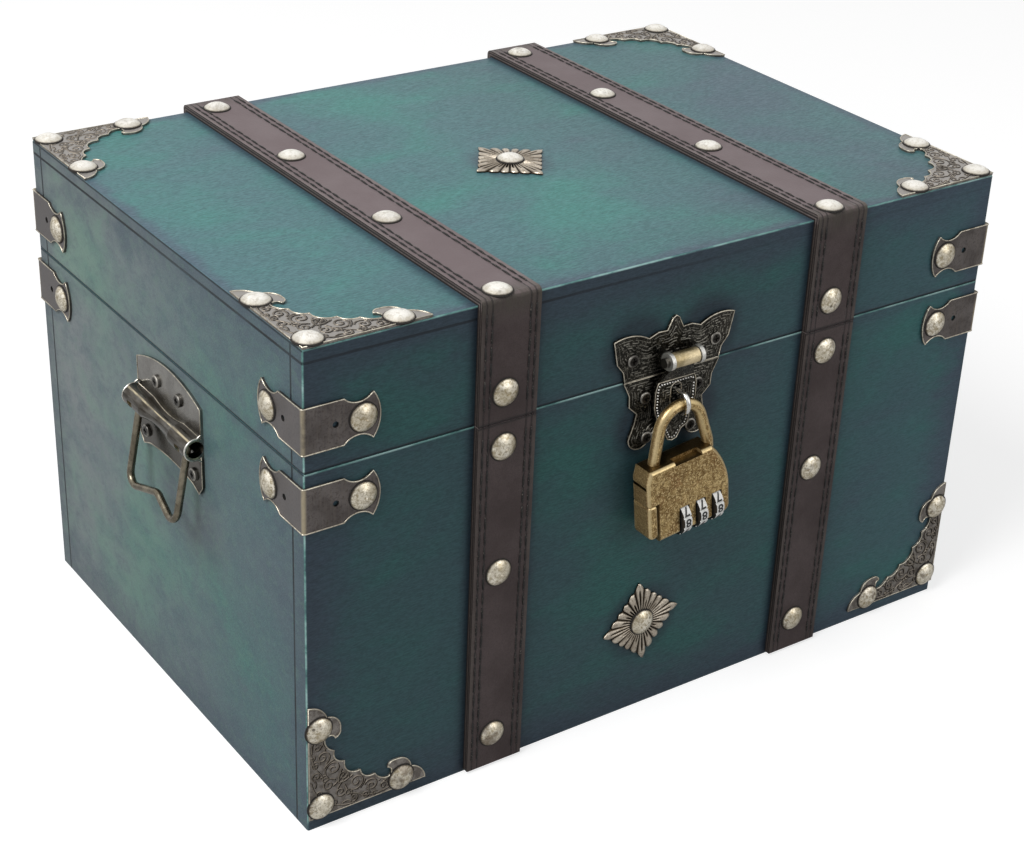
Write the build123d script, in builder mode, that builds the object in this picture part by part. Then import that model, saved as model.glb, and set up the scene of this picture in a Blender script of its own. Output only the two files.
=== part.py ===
from build123d import *
import os
from math import asin, cos, pi, radians, sin, sqrt, tan

# A lidded wooden chest with straps, domed nails, corner plates, a butterfly hasp with a dial
# padlock, and a wire handle on each end. Origin: centre of the underside. +X along the front,
# the front faces -Y, +Z up. Lengths are millimetres, angles are degrees.

os.makedirs("parts", exist_ok=True)

# Carcass
chest_width = 320.0
chest_depth = 221.0
base_height = 152.3
lid_height = 46.5
seam_gap = 0.4
wall = 8.0
top_board = 5.0
bottom_board = 5.0
edge_round = 0.8
cut_overrun = 1.0
hole_room = 0.05
running_room = 0.05
moving_gap = 0.3

# Domed nails
nail_radius = 5.4
nail_rise = 2.5
nail_rim = 0.5
nail_shank_radius = 0.8
strap_nail_length = 7.0
plate_nail_length = 5.0

# Straps
strap_width = 25.0
strap_thickness = 2.8
strap_bend = 2.2
strap_spacing_share = 0.48125
strap_offset = -1.6
strap_foot = 1.0
lid_nail_rise = 11.6
base_nail_drop = 9.9
base_nail_share = 0.5857
base_nail_rise = 15.6
edge_nail_inset = 2.6
top_nail_depth_shares = (-0.156, 0.172)
back_nail_inset = 9.0
top_nail_shift = -2.8
front_nail_shift = -1.5

# Bent corner brackets
bracket_thickness = 1.0
bracket_bend = 0.9
bracket_height = 17.6
bracket_length = 28.6
bracket_straight = 15.2
bracket_tip = 26.8
bracket_neck = 12.4
bracket_nail = 22.8
bracket_hole = 12.0
bracket_hole_radius = 1.2
lid_bracket_rise = 16.3
base_bracket_drop = 14.0

# Scalloped corner plates
plate_arm = 50.4
plate_thickness = 0.9
plate_inset = 0.3
plate_nail_inset = 4.2
plate_nail_share = 0.786
plate_corner_nail = 4.8
plate_rise = 5.4

# Rosettes
rosette_reach = 18.5
rosette_side_reach = 17.4
rosette_thickness = 1.3
rosette_valley_share = 0.86
rosette_petals_per_side = 4
top_rosette_spot = (-4.5, -3.5)
top_rosette_turn = 10.0
front_rosette_x = -7.8
front_rosette_height = 41.2
front_rosette_turn = 6.5

# Screws
screw_radius = 2.6
screw_rise = 1.2
screw_shank_radius = 1.1
screw_length = 6.0
screw_slot = 0.7

# Butterfly hasp
hasp_x = -2.7
hasp_plate = 1.2
hasp_half_width = 28.4
hasp_lid_half_foot = 22.4
hasp_lid_height = 22.6
hasp_lid_screw_share = (0.69, 0.385)
hasp_base_half_head = 22.6
hasp_base_depth = 29.6
hasp_base_screw_shares = ((0.553, 0.27), (0.469, 0.855))
pin_out = 7.4
pin_rise = 7.7
pin_radius = 1.2
ear_radius = 3.4
ear_thickness = 1.7
ear_gap = 12.2
barrel_radius = 3.0
tongue_thickness = 1.4
tongue_out = 3.6
tongue_half_width = 9.7
tongue_lock_gap = 3.3
tongue_bend_drop = 1.8
tongue_slot_width = 5.0
tongue_slot_below = 2.2
tongue_slot_above = 3.0

# Staple
staple_wire = 1.0
staple_drop = 14.5
staple_span = 8.2
staple_reach = 12.3
staple_root = 6.0

# Padlock
lock_out = 8.6
lock_roll = 7.0
lock_width = 39.6
lock_height = 33.0
lock_depth = 10.6
lock_top_left = 18.2
lock_top_right = 11.6
lock_left_shoulder = 5.0
lock_right_shoulder = 19.0
lock_bulge = (0.71, 0.49)
lock_shoulder_round = 3.0
lock_top_round = 2.2
lock_corner = 3.5
lock_face_round = 1.8
lock_dip = 1.5
lock_dip_width = 13.0
lock_dip_depth = 3.8
lock_notch_drop = 7.4
lock_notch_height = 1.3
lock_notch_reach = 2.6
lock_cover = 1.4
leg_room = 0.05
shackle_bar = 2.3
shackle_half_span = 12.9
shackle_lean = 13.8
shackle_arch = 10.2
shackle_knee = 5.0
shackle_rise = 0.7
short_leg = 4.0
long_leg = 14.0
shackle_travel = 5.5
dial_radius = 7.8
dial_width = 3.6
dial_spots = (-2.8, 5.1, 13.0)
dial_drop = 27.8
dial_room = 0.6
dial_side_room = 0.7
dial_hub_radius = 4.0
dial_hub_step = 0.4
dial_notches = 10
dial_notch = 0.45
axle_radius = 1.4
axle_grip = 1.4
slider_width = 4.6
slider_height = 15.4
slider_drop = 15.4
slider_travel = 2.0
slider_round = 2.1
slider_face_round = 1.6
slider_gap = 0.5
stem_length = 4.0
stem_height = 8.0
stem_depth = 3.6

# End handles
handle_y = -9.2
handle_seam_room = 3.7
handle_sheet = 1.2
handle_half_width = 26.3
handle_rise = 21.4
handle_shoulder = 15.8
handle_drop = 20.9
handle_screw_shares = ((0.346, 0.57), (0.757, -0.65))
handle_out = 3.6
handle_barrel = 4.6
handle_waist = 3.1
handle_saddle_share = 0.47
bail_wire = 1.5
bail_half_width = 20.2
bail_sag = 1.4
bail_drop = 34.6
bail_kink = 7.4
bail_kink_offset = 3.0
bail_corner = 5.0
bail_hook = 7.8
bail_hook_round = 2.0
bail_lean = 11.0
bail_slot_room = 0.4

# Rear hinges
hinge_out = 3.3
hinge_spacing = 84.0
hinge_width = 28.0
hinge_leaf = 1.4
hinge_leaf_height = 17.0
hinge_barrel = 2.6
hinge_pin = 1.1
hinge_knuckle_share = 0.34
hinge_screw_x = 9.0
hinge_screw_height = 10.5

# Faces of the chest
front_y = -chest_depth / 2
back_y = chest_depth / 2
left_x = -chest_width / 2
right_x = chest_width / 2
lid_foot = base_height + seam_gap
top_z = lid_foot + lid_height
rail_height = lid_height - top_board
strap_spacing = chest_width * strap_spacing_share
strap_xs = (strap_offset - strap_spacing / 2, strap_offset + strap_spacing / 2)
end_length = chest_depth - 2 * wall

# Heights that are taken from the seam, so that the fittings keep to it
base_nail_heights = (base_height - base_nail_drop, base_height * base_nail_share, base_nail_rise)
lid_nail_height = lid_foot + lid_nail_rise
lid_bracket_height = lid_foot + lid_bracket_rise
base_bracket_height = base_height - base_bracket_drop
pin_height = lid_foot + pin_rise
staple_foot = base_height - staple_drop
staple_head = staple_foot + staple_span
handle_height = base_height - handle_seam_room - handle_rise

# The padlock hangs on the staple, turned a little to one side
bar_height = staple_foot + staple_wire + moving_gap + shackle_bar
arch_centre_z = bar_height - shackle_arch
arch_peak = shackle_rise + shackle_half_span / tan(radians(shackle_lean))
arch_centre_rise = arch_peak - shackle_arch / sin(radians(shackle_lean))
roll = radians(lock_roll)
lock_y = front_y - lock_out
lock_top = (
    hasp_x + arch_centre_rise * sin(roll),
    lock_y,
    arch_centre_z - arch_centre_rise * cos(roll),
)
lock_plane = Plane(lock_top, x_dir=(cos(roll), 0, sin(roll)), z_dir=(0, -1, 0))
tongue_foot = lock_top[-1] + tongue_lock_gap
tongue_bend_height = base_height - tongue_bend_drop
tongue_slot_foot = staple_foot - tongue_slot_below
tongue_slot_head = staple_head + tongue_slot_above


def on_front(x, z, lift=0):
    """A plane on the front face, facing out and lifted off it."""
    return Plane((x, front_y - lift, z), x_dir=(1, 0, 0), z_dir=(0, -1, 0))


def on_back(x, z, lift=0):
    """A plane on the back face, facing out and lifted off it."""
    return Plane((x, back_y + lift, z), x_dir=(-1, 0, 0), z_dir=(0, 1, 0))


def on_left(y, z, lift=0):
    """A plane on the left end, facing out and lifted off it."""
    return Plane((left_x - lift, y, z), x_dir=(0, -1, 0), z_dir=(-1, 0, 0))


def on_right(y, z, lift=0):
    """A plane on the right end, facing out and lifted off it."""
    return Plane((right_x + lift, y, z), x_dir=(0, 1, 0), z_dir=(1, 0, 0))


def on_top(x, y, lift=0):
    """A plane on the lid's top, facing up and lifted off it."""
    return Plane((x, y, top_z + lift), x_dir=(1, 0, 0), z_dir=(0, 0, 1))


def drill(spots, radius, depth):
    """Holes from each spot's plane into the piece that is being made."""
    with Locations(*spots):
        Hole(radius, depth)


def domed_nail(length):
    """An upholstery nail: a low domed head on the XY plane and a shank below it."""
    cap = nail_rise - nail_rim
    sphere = (nail_radius**2 + cap**2) / (2 * cap)
    half_turn = asin(nail_radius / sphere) / 2
    middle = (sphere * sin(half_turn), nail_rise - sphere + sphere * cos(half_turn))
    with BuildPart() as nail:
        with BuildSketch(Plane.XZ):
            with BuildLine():
                Polyline(
                    (0, nail_rise),
                    (0, -length),
                    (nail_shank_radius, -length),
                    (nail_shank_radius, 0),
                    (nail_radius, 0),
                    (nail_radius, nail_rim),
                )
                ThreePointArc((nail_radius, nail_rim), middle, (0, nail_rise))
            make_face()
        revolve(axis=Axis.Z)
    return nail.part


def cross_screw():
    """A pan head screw with a cross slot, its head on the XY plane."""
    with BuildPart() as screw:
        Cylinder(screw_radius, screw_rise, align=(Align.CENTER, Align.CENTER, Align.MIN))
        fillet(screw.edges().group_by(Axis.Z)[-1], screw_rise / 2)
        with BuildSketch(Plane.XY.offset(screw_rise)):
            Rectangle(screw_radius, screw_slot)
            Rectangle(screw_slot, screw_radius)
        extrude(amount=-screw_rise / 2, mode=Mode.SUBTRACT)
        Cylinder(
            screw_shank_radius, screw_length, align=(Align.CENTER, Align.CENTER, Align.MAX)
        )
    return screw.part


strap_nail = domed_nail(strap_nail_length)
plate_nail = domed_nail(plate_nail_length)
screw_shape = cross_screw()
nail_hole = nail_shank_radius + hole_room
screw_hole = screw_shank_radius + hole_room

# Where the fasteners stand
front_nail_xs = [x + front_nail_shift for x in strap_xs]
top_nail_xs = [x + top_nail_shift for x in strap_xs]
base_strap_front_spots = [on_front(x, z, strap_thickness) for x in front_nail_xs for z in base_nail_heights]
base_strap_back_spots = [on_back(x, z, strap_thickness) for x in strap_xs for z in base_nail_heights]
lid_strap_front_spots = [on_front(x, lid_nail_height, strap_thickness) for x in front_nail_xs]
lid_strap_back_spots = [on_back(x, lid_nail_height, strap_thickness) for x in strap_xs]
top_nail_ys = [
    front_y + edge_nail_inset,
    *[share * chest_depth for share in top_nail_depth_shares],
    back_y - back_nail_inset,
]
lid_strap_top_spots = [on_top(x, y, strap_thickness) for x in top_nail_xs for y in top_nail_ys]


def bracket_face_spots(z, reach, lift=0):
    """Planes at a distance from each vertical edge, by the face they are on."""
    return {
        "front": [on_front(x, z, lift) for x in (left_x + reach, right_x - reach)],
        "back": [on_back(x, z, lift) for x in (left_x + reach, right_x - reach)],
        "left": [on_left(y, z, lift) for y in (front_y + reach, back_y - reach)],
        "right": [on_right(y, z, lift) for y in (front_y + reach, back_y - reach)],
    }


base_bracket_spots = bracket_face_spots(base_bracket_height, bracket_nail, bracket_thickness)
lid_bracket_spots = bracket_face_spots(lid_bracket_height, bracket_nail, bracket_thickness)

# The corner plates' own planes: the corner at the origin, the arms along local X and Y
top_plate_planes = [
    Plane((left_x + plate_inset, front_y + plate_inset, top_z), x_dir=(1, 0, 0), z_dir=(0, 0, 1)),
    Plane((right_x - plate_inset, front_y + plate_inset, top_z), x_dir=(0, 1, 0), z_dir=(0, 0, 1)),
    Plane((right_x - plate_inset, back_y - plate_inset, top_z), x_dir=(-1, 0, 0), z_dir=(0, 0, 1)),
    Plane((left_x + plate_inset, back_y - plate_inset, top_z), x_dir=(0, -1, 0), z_dir=(0, 0, 1)),
]
bottom_plate_planes = [
    Plane((left_x + plate_inset, front_y, plate_rise), x_dir=(1, 0, 0), z_dir=(0, -1, 0)),
    Plane((right_x - plate_inset, front_y, plate_rise), x_dir=(0, 0, 1), z_dir=(0, -1, 0)),
]
plate_nail_arm = plate_arm * plate_nail_share
plate_nail_spots = (
    (plate_nail_inset, plate_nail_arm),
    (plate_nail_arm, plate_nail_inset),
    (plate_corner_nail, plate_corner_nail),
)


def plate_spots(planes):
    """Planes on top of the corner plates, where their nails stand."""
    return [
        Plane(plane.from_local_coords((u, v, plate_thickness)), x_dir=plane.x_dir, z_dir=plane.z_dir)
        for plane in planes
        for u, v in plate_nail_spots
    ]


top_plate_spots = plate_spots(top_plate_planes)
bottom_plate_spots = plate_spots(bottom_plate_planes)
top_turn = radians(top_rosette_turn)
front_turn = radians(front_rosette_turn)
top_rosette_plane = Plane(
    (*top_rosette_spot, top_z), x_dir=(cos(top_turn), sin(top_turn), 0), z_dir=(0, 0, 1)
)
front_rosette_plane = Plane(
    (front_rosette_x, front_y, front_rosette_height),
    x_dir=(cos(front_turn), 0, sin(front_turn)),
    z_dir=(0, -1, 0),
)
top_rosette_nail_spot = on_top(*top_rosette_spot, rosette_thickness)
front_rosette_nail_spot = on_front(front_rosette_x, front_rosette_height, rosette_thickness)
hasp_lid_spots = [
    on_front(
        hasp_x + side * hasp_half_width * hasp_lid_screw_share[0],
        lid_foot + hasp_lid_height * hasp_lid_screw_share[1],
        hasp_plate,
    )
    for side in (-1, 1)
]
hasp_base_spots = [
    on_front(hasp_x + side * hasp_base_half_head * u, base_height - hasp_base_depth * v, hasp_plate)
    for side in (-1, 1)
    for u, v in hasp_base_screw_shares
]
staple_spots = [on_front(hasp_x, z) for z in (staple_foot, staple_head)]
handle_screw_spots = [(handle_half_width * u, handle_rise * v) for u, v in handle_screw_shares]
handle_left_spots = [
    on_left(handle_y + side * a, handle_height + b, handle_sheet)
    for side in (-1, 1)
    for a, b in handle_screw_spots
]
handle_right_spots = [
    on_right(handle_y + side * a, handle_height + b, handle_sheet)
    for side in (-1, 1)
    for a, b in handle_screw_spots
]
hinge_xs = (-hinge_spacing / 2, hinge_spacing / 2)
hinge_base_spots = [
    on_back(x + side * hinge_screw_x, base_height - hinge_screw_height, hinge_leaf)
    for x in hinge_xs
    for side in (-1, 1)
]
hinge_lid_spots = [
    on_back(x + side * hinge_screw_x, lid_foot + hinge_screw_height, hinge_leaf)
    for x in hinge_xs
    for side in (-1, 1)
]

# Base: front panel
with BuildPart() as base_front:
    with BuildSketch():
        with Locations((0, front_y + wall / 2)):
            Rectangle(chest_width, wall)
    extrude(amount=base_height)
    fillet(base_front.edges().filter_by(Axis.Z).group_by(Axis.Y)[0], edge_round)
    drill(base_strap_front_spots, nail_hole, strap_nail_length)
    drill(base_bracket_spots["front"] + bottom_plate_spots, nail_hole, plate_nail_length)
    drill([front_rosette_nail_spot], nail_hole, plate_nail_length)
    drill(hasp_base_spots, screw_hole, screw_length)
    drill(staple_spots, staple_wire + hole_room, staple_root)

# Base: back panel
with BuildPart() as base_back:
    with BuildSketch():
        with Locations((0, back_y - wall / 2)):
            Rectangle(chest_width, wall)
    extrude(amount=base_height)
    fillet(base_back.edges().filter_by(Axis.Z).group_by(Axis.Y)[-1], edge_round)
    drill(base_strap_back_spots, nail_hole, strap_nail_length)
    drill(base_bracket_spots["back"], nail_hole, plate_nail_length)
    drill(hinge_base_spots, screw_hole, screw_length)

# Base: end panels, held between the front and the back
with BuildPart() as base_left:
    with BuildSketch():
        with Locations((left_x + wall / 2, 0)):
            Rectangle(wall, end_length)
    extrude(amount=base_height)
    drill(base_bracket_spots["left"], nail_hole, plate_nail_length)
    drill(handle_left_spots, screw_hole, screw_length)

with BuildPart() as base_right:
    with BuildSketch():
        with Locations((right_x - wall / 2, 0)):
            Rectangle(wall, end_length)
    extrude(amount=base_height)
    drill(base_bracket_spots["right"], nail_hole, plate_nail_length)
    drill(handle_right_spots, screw_hole, screw_length)

# Base: bottom board between the four panels
with BuildPart() as base_bottom:
    with BuildSketch():
        Rectangle(chest_width - 2 * wall, end_length)
    extrude(amount=bottom_board)

# Lid: rails
with BuildPart() as lid_front:
    with BuildSketch(Plane.XY.offset(lid_foot)):
        with Locations((0, front_y + wall / 2)):
            Rectangle(chest_width, wall)
    extrude(amount=rail_height)
    fillet(lid_front.edges().filter_by(Axis.Z).group_by(Axis.Y)[0], edge_round)
    drill(lid_strap_front_spots, nail_hole, strap_nail_length)
    drill(lid_bracket_spots["front"], nail_hole, plate_nail_length)
    drill(hasp_lid_spots, screw_hole, screw_length)

with BuildPart() as lid_back:
    with BuildSketch(Plane.XY.offset(lid_foot)):
        with Locations((0, back_y - wall / 2)):
            Rectangle(chest_width, wall)
    extrude(amount=rail_height)
    fillet(lid_back.edges().filter_by(Axis.Z).group_by(Axis.Y)[-1], edge_round)
    drill(lid_strap_back_spots, nail_hole, strap_nail_length)
    drill(lid_bracket_spots["back"], nail_hole, plate_nail_length)
    drill(hinge_lid_spots, screw_hole, screw_length)

with BuildPart() as lid_left:
    with BuildSketch(Plane.XY.offset(lid_foot)):
        with Locations((left_x + wall / 2, 0)):
            Rectangle(wall, end_length)
    extrude(amount=rail_height)
    drill(lid_bracket_spots["left"], nail_hole, plate_nail_length)

with BuildPart() as lid_right:
    with BuildSketch(Plane.XY.offset(lid_foot)):
        with Locations((right_x - wall / 2, 0)):
            Rectangle(wall, end_length)
    extrude(amount=rail_height)
    drill(lid_bracket_spots["right"], nail_hole, plate_nail_length)

# Lid: top board over the rails
with BuildPart() as lid_top:
    with BuildSketch(Plane.XY.offset(top_z - top_board)):
        Rectangle(chest_width, chest_depth)
    extrude(amount=top_board)
    fillet(lid_top.edges().filter_by(Axis.Z), edge_round)
    fillet(lid_top.faces().sort_by(Axis.Z)[-1].edges(), edge_round)
    drill(lid_strap_top_spots, nail_hole, strap_nail_length)
    drill(top_plate_spots, nail_hole, plate_nail_length)
    drill([top_rosette_nail_spot], nail_hole, plate_nail_length)

# Straps: flat bands down the base, one bent band over the lid
strap_length = base_height - strap_foot
strap_middle = strap_foot + strap_length / 2

with BuildPart() as base_front_straps:
    for x in strap_xs:
        with BuildSketch(on_front(x, strap_middle)):
            Rectangle(strap_width, strap_length)
    extrude(amount=strap_thickness)
    drill(base_strap_front_spots, nail_hole, strap_nail_length)

with BuildPart() as base_back_straps:
    for x in strap_xs:
        with BuildSketch(on_back(x, strap_middle)):
            Rectangle(strap_width, strap_length)
    extrude(amount=strap_thickness)
    drill(base_strap_back_spots, nail_hole, strap_nail_length)

with BuildPart() as lid_straps:
    for x in strap_xs:
        with BuildSketch(Plane.YZ.offset(x - strap_width / 2)) as band:
            with Locations((0, lid_foot + (lid_height + strap_thickness) / 2)):
                Rectangle(chest_depth + 2 * strap_thickness, lid_height + strap_thickness)
            fillet(band.vertices().group_by(Axis.Y)[-1], strap_bend)
            with Locations((0, lid_foot + lid_height / 2)):
                Rectangle(chest_depth, lid_height, mode=Mode.SUBTRACT)
    extrude(amount=strap_width)
    drill(lid_strap_front_spots + lid_strap_back_spots, nail_hole, strap_nail_length)
    drill(lid_strap_top_spots, nail_hole, strap_nail_length)

with BuildPart() as base_strap_nails:
    with Locations(*base_strap_front_spots, *base_strap_back_spots):
        add(strap_nail)

with BuildPart() as lid_strap_nails:
    with Locations(*lid_strap_front_spots, *lid_strap_back_spots, *lid_strap_top_spots):
        add(strap_nail)


def corner_bracket(z):
    """The front left bracket: two legs bent round the vertical edge, ending in crescents."""
    half = bracket_height / 2
    neck = bracket_neck / 2
    bend = (left_x, front_y, z)
    legs = (
        Plane(bend, x_dir=(1, 0, 0), z_dir=(0, -1, 0)),
        Plane(bend, x_dir=(0, 1, 0), z_dir=(-1, 0, 0)),
    )
    waist = (bracket_straight + bracket_tip) / 2
    with BuildPart() as bracket:
        for leg in legs:
            with BuildSketch(leg):
                with BuildLine():
                    Polyline(
                        (bracket_straight, -half),
                        (-bracket_thickness, -half),
                        (-bracket_thickness, half),
                        (bracket_straight, half),
                    )
                    ThreePointArc((bracket_straight, half), (waist, neck), (bracket_tip, half))
                    ThreePointArc(
                        (bracket_tip, half),
                        (bracket_length + bracket_thickness, 0),
                        (bracket_tip, -half),
                    )
                    ThreePointArc((bracket_tip, -half), (waist, -neck), (bracket_straight, -half))
                make_face()
            extrude(amount=bracket_thickness)
        upright_edges = bracket.edges().filter_by(Axis.Z)
        fillet(upright_edges.sort_by(lambda edge: edge.center().X + edge.center().Y)[0], bracket_bend)
        for leg in legs:
            with Locations(leg):
                with Locations((bracket_hole, 0, bracket_thickness)):
                    Hole(bracket_hole_radius, bracket_thickness)
                with Locations((bracket_nail, 0, bracket_thickness)):
                    Hole(nail_hole, bracket_thickness)
    return bracket.part


with BuildPart() as base_corner_brackets:
    add(corner_bracket(base_bracket_height))
    mirror(about=Plane.YZ)
    mirror(about=Plane.XZ)

with BuildPart() as lid_corner_brackets:
    add(corner_bracket(lid_bracket_height))
    mirror(about=Plane.YZ)
    mirror(about=Plane.XZ)

with BuildPart() as base_bracket_nails:
    with Locations(*sum(base_bracket_spots.values(), [])):
        add(plate_nail)

with BuildPart() as lid_bracket_nails:
    with Locations(*sum(lid_bracket_spots.values(), [])):
        add(plate_nail)


def corner_plate():
    """A scalloped plate with its corner at the origin and its arms along +X and +Y."""
    # Shares of the arm: (middle of the arc, end of the arc), from the tip on the Y arm inwards
    tip_share = (0.0, 1.0)
    arc_shares = (
        ((0.085, 0.968), (0.150, 0.872)),
        ((0.232, 0.835), (0.263, 0.739)),
        ((0.256, 0.694), (0.221, 0.668)),
        ((0.184, 0.704), (0.130, 0.676)),
        ((0.152, 0.605), (0.209, 0.557)),
        ((0.217, 0.482), (0.296, 0.431)),
    )
    with BuildPart() as plate:
        with BuildSketch():
            with BuildLine():
                Line((0, 0), (0, plate_arm))
                start = tip_share
                for middle, end in arc_shares:
                    ThreePointArc(
                        (start[0] * plate_arm, start[1] * plate_arm),
                        (middle[0] * plate_arm, middle[1] * plate_arm),
                        (end[0] * plate_arm, end[1] * plate_arm),
                    )
                    ThreePointArc(
                        (start[1] * plate_arm, start[0] * plate_arm),
                        (middle[1] * plate_arm, middle[0] * plate_arm),
                        (end[1] * plate_arm, end[0] * plate_arm),
                    )
                    start = end
                heart = (start[0] + start[1]) / 2 * plate_arm * 0.9
                ThreePointArc(
                    (start[0] * plate_arm, start[1] * plate_arm),
                    (heart, heart),
                    (start[1] * plate_arm, start[0] * plate_arm),
                )
                Line((plate_arm, 0), (0, 0))
            make_face()
        extrude(amount=plate_thickness)
        with Locations(*[(u, v, plate_thickness) for u, v in plate_nail_spots]):
            Hole(nail_hole, plate_thickness)
    return plate.part


plate_shape = corner_plate()

with BuildPart() as top_corner_plates:
    with Locations(*top_plate_planes):
        add(plate_shape)

with BuildPart() as top_plate_nails:
    with Locations(*top_plate_spots):
        add(plate_nail)

with BuildPart() as bottom_corner_plates:
    with Locations(*bottom_plate_planes):
        add(plate_shape)

with BuildPart() as bottom_plate_nails:
    with Locations(*bottom_plate_spots):
        add(plate_nail)


def rosette():
    """A diamond of pointed petals on the XY plane, with a nail hole in its middle."""
    steps = 2 * (rosette_petals_per_side + 1)
    points = []
    for step in range(4 * steps):
        angle = step * pi / 2 / steps
        diamond = 1 / (abs(cos(angle)) + abs(sin(angle)))
        reach = rosette_reach if step % steps == 0 else rosette_side_reach
        dip = rosette_valley_share if step % 2 else 1
        points.append((reach * diamond * dip * cos(angle), reach * diamond * dip * sin(angle)))
    with BuildPart() as petals:
        with BuildSketch():
            with BuildLine():
                Polyline(*points, close=True)
            make_face()
        extrude(amount=rosette_thickness)
        with Locations((0, 0, rosette_thickness)):
            Hole(nail_hole, rosette_thickness)
    return petals.part


rosette_shape = rosette()

with BuildPart() as top_rosette:
    with Locations(top_rosette_plane):
        add(rosette_shape)

with BuildPart() as top_rosette_nail:
    with Locations(top_rosette_nail_spot):
        add(plate_nail)

with BuildPart() as front_rosette:
    with Locations(front_rosette_plane):
        add(rosette_shape)

with BuildPart() as front_rosette_nail:
    with Locations(front_rosette_nail_spot):
        add(plate_nail)

# Hasp: upper plate with two ears for the hinge pin
ear_xs = [hasp_x + side * (ear_gap + ear_thickness) / 2 for side in (-1, 1)]
pin_y = front_y - pin_out

with BuildPart() as hasp_lid_plate:
    with BuildSketch(on_front(hasp_x, lid_foot)) as wings:
        with BuildLine():
            Polyline(
                (0, hasp_lid_height),
                (hasp_half_width * 0.05, hasp_lid_height * 0.96),
                (hasp_half_width * 0.13, hasp_lid_height * 0.76),
                (hasp_half_width * 0.28, hasp_lid_height * 0.77),
                (hasp_half_width * 0.43, hasp_lid_height * 0.70),
            )
            ThreePointArc(
                (hasp_half_width * 0.43, hasp_lid_height * 0.70),
                (hasp_half_width * 0.72, hasp_lid_height * 0.83),
                (hasp_half_width, hasp_lid_height * 0.79),
            )
            Polyline(
                (hasp_half_width, hasp_lid_height * 0.79),
                (hasp_half_width * 0.93, hasp_lid_height * 0.37),
                (hasp_half_width * 0.82, hasp_lid_height * 0.20),
                (hasp_lid_half_foot, 0),
                (0, 0),
                (0, hasp_lid_height),
            )
        make_face()
        mirror(about=Plane.YZ)
    extrude(amount=hasp_plate)
    for x in ear_xs:
        with BuildSketch(Plane.YZ.offset(x - ear_thickness / 2)):
            with Locations((pin_y, pin_height)):
                Circle(ear_radius)
            with Locations((front_y, pin_height)):
                Rectangle(pin_out, 2 * ear_radius, align=(Align.MAX, Align.CENTER))
    extrude(amount=ear_thickness)
    with Locations(Plane((hasp_x, pin_y, pin_height), z_dir=(1, 0, 0))):
        Cylinder(pin_radius + hole_room, ear_gap + 3 * ear_thickness, mode=Mode.SUBTRACT)
    drill(hasp_lid_spots, screw_hole, hasp_plate)

with BuildPart() as hasp_lid_screws:
    with Locations(*hasp_lid_spots):
        add(screw_shape)

with BuildPart() as hasp_pin:
    with Locations(Plane((hasp_x, pin_y, pin_height), z_dir=(1, 0, 0))):
        Cylinder(pin_radius, ear_gap + 2 * ear_thickness)
        for side in (-1, 1):
            with Locations((0, 0, side * (ear_gap + 3 * ear_thickness) / 2)):
                Cylinder(pin_radius * 1.6, ear_thickness)

# Hasp: lower plate
with BuildPart() as hasp_base_plate:
    with BuildSketch(on_front(hasp_x, base_height)):
        with BuildLine():
            Polyline(
                (0, 0),
                (hasp_base_half_head, 0),
                (hasp_base_half_head * 0.87, -hasp_base_depth * 0.20),
                (hasp_base_half_head * 0.86, -hasp_base_depth * 0.36),
                (hasp_base_half_head * 0.69, -hasp_base_depth * 0.48),
                (hasp_base_half_head * 0.73, -hasp_base_depth * 0.63),
                (hasp_base_half_head * 0.83, -hasp_base_depth * 0.84),
            )
            ThreePointArc(
                (hasp_base_half_head * 0.83, -hasp_base_depth * 0.84),
                (hasp_base_half_head * 0.66, -hasp_base_depth),
                (hasp_base_half_head * 0.42, -hasp_base_depth * 0.93),
            )
            Polyline(
                (hasp_base_half_head * 0.42, -hasp_base_depth * 0.93),
                (hasp_base_half_head * 0.30, -hasp_base_depth * 0.80),
                (0, -hasp_base_depth * 0.77),
                (0, 0),
            )
        make_face()
        mirror(about=Plane.YZ)
    extrude(amount=hasp_plate)
    drill(hasp_base_spots, screw_hole, hasp_plate)
    with Locations(*staple_spots):
        Cylinder(staple_wire + hole_room, 3 * hasp_plate, mode=Mode.SUBTRACT)

with BuildPart() as hasp_base_screws:
    with Locations(*hasp_base_spots):
        add(screw_shape)

# Hasp: staple, a bent wire with both legs in the front panel
staple_bow = staple_span / 2
staple_elbow_y = front_y - staple_reach + staple_bow
with BuildPart() as hasp_staple:
    with BuildLine() as staple_path:
        Line((hasp_x, front_y + staple_root, staple_foot), (hasp_x, staple_elbow_y, staple_foot))
        ThreePointArc(
            (hasp_x, staple_elbow_y, staple_foot),
            (hasp_x, front_y - staple_reach, staple_foot + staple_bow),
            (hasp_x, staple_elbow_y, staple_head),
        )
        Line((hasp_x, staple_elbow_y, staple_head), (hasp_x, front_y + staple_root, staple_head))
    with BuildSketch(Plane(staple_path.line @ 0, z_dir=staple_path.line % 0)):
        Circle(staple_wire)
    sweep(path=staple_path.line)

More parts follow.
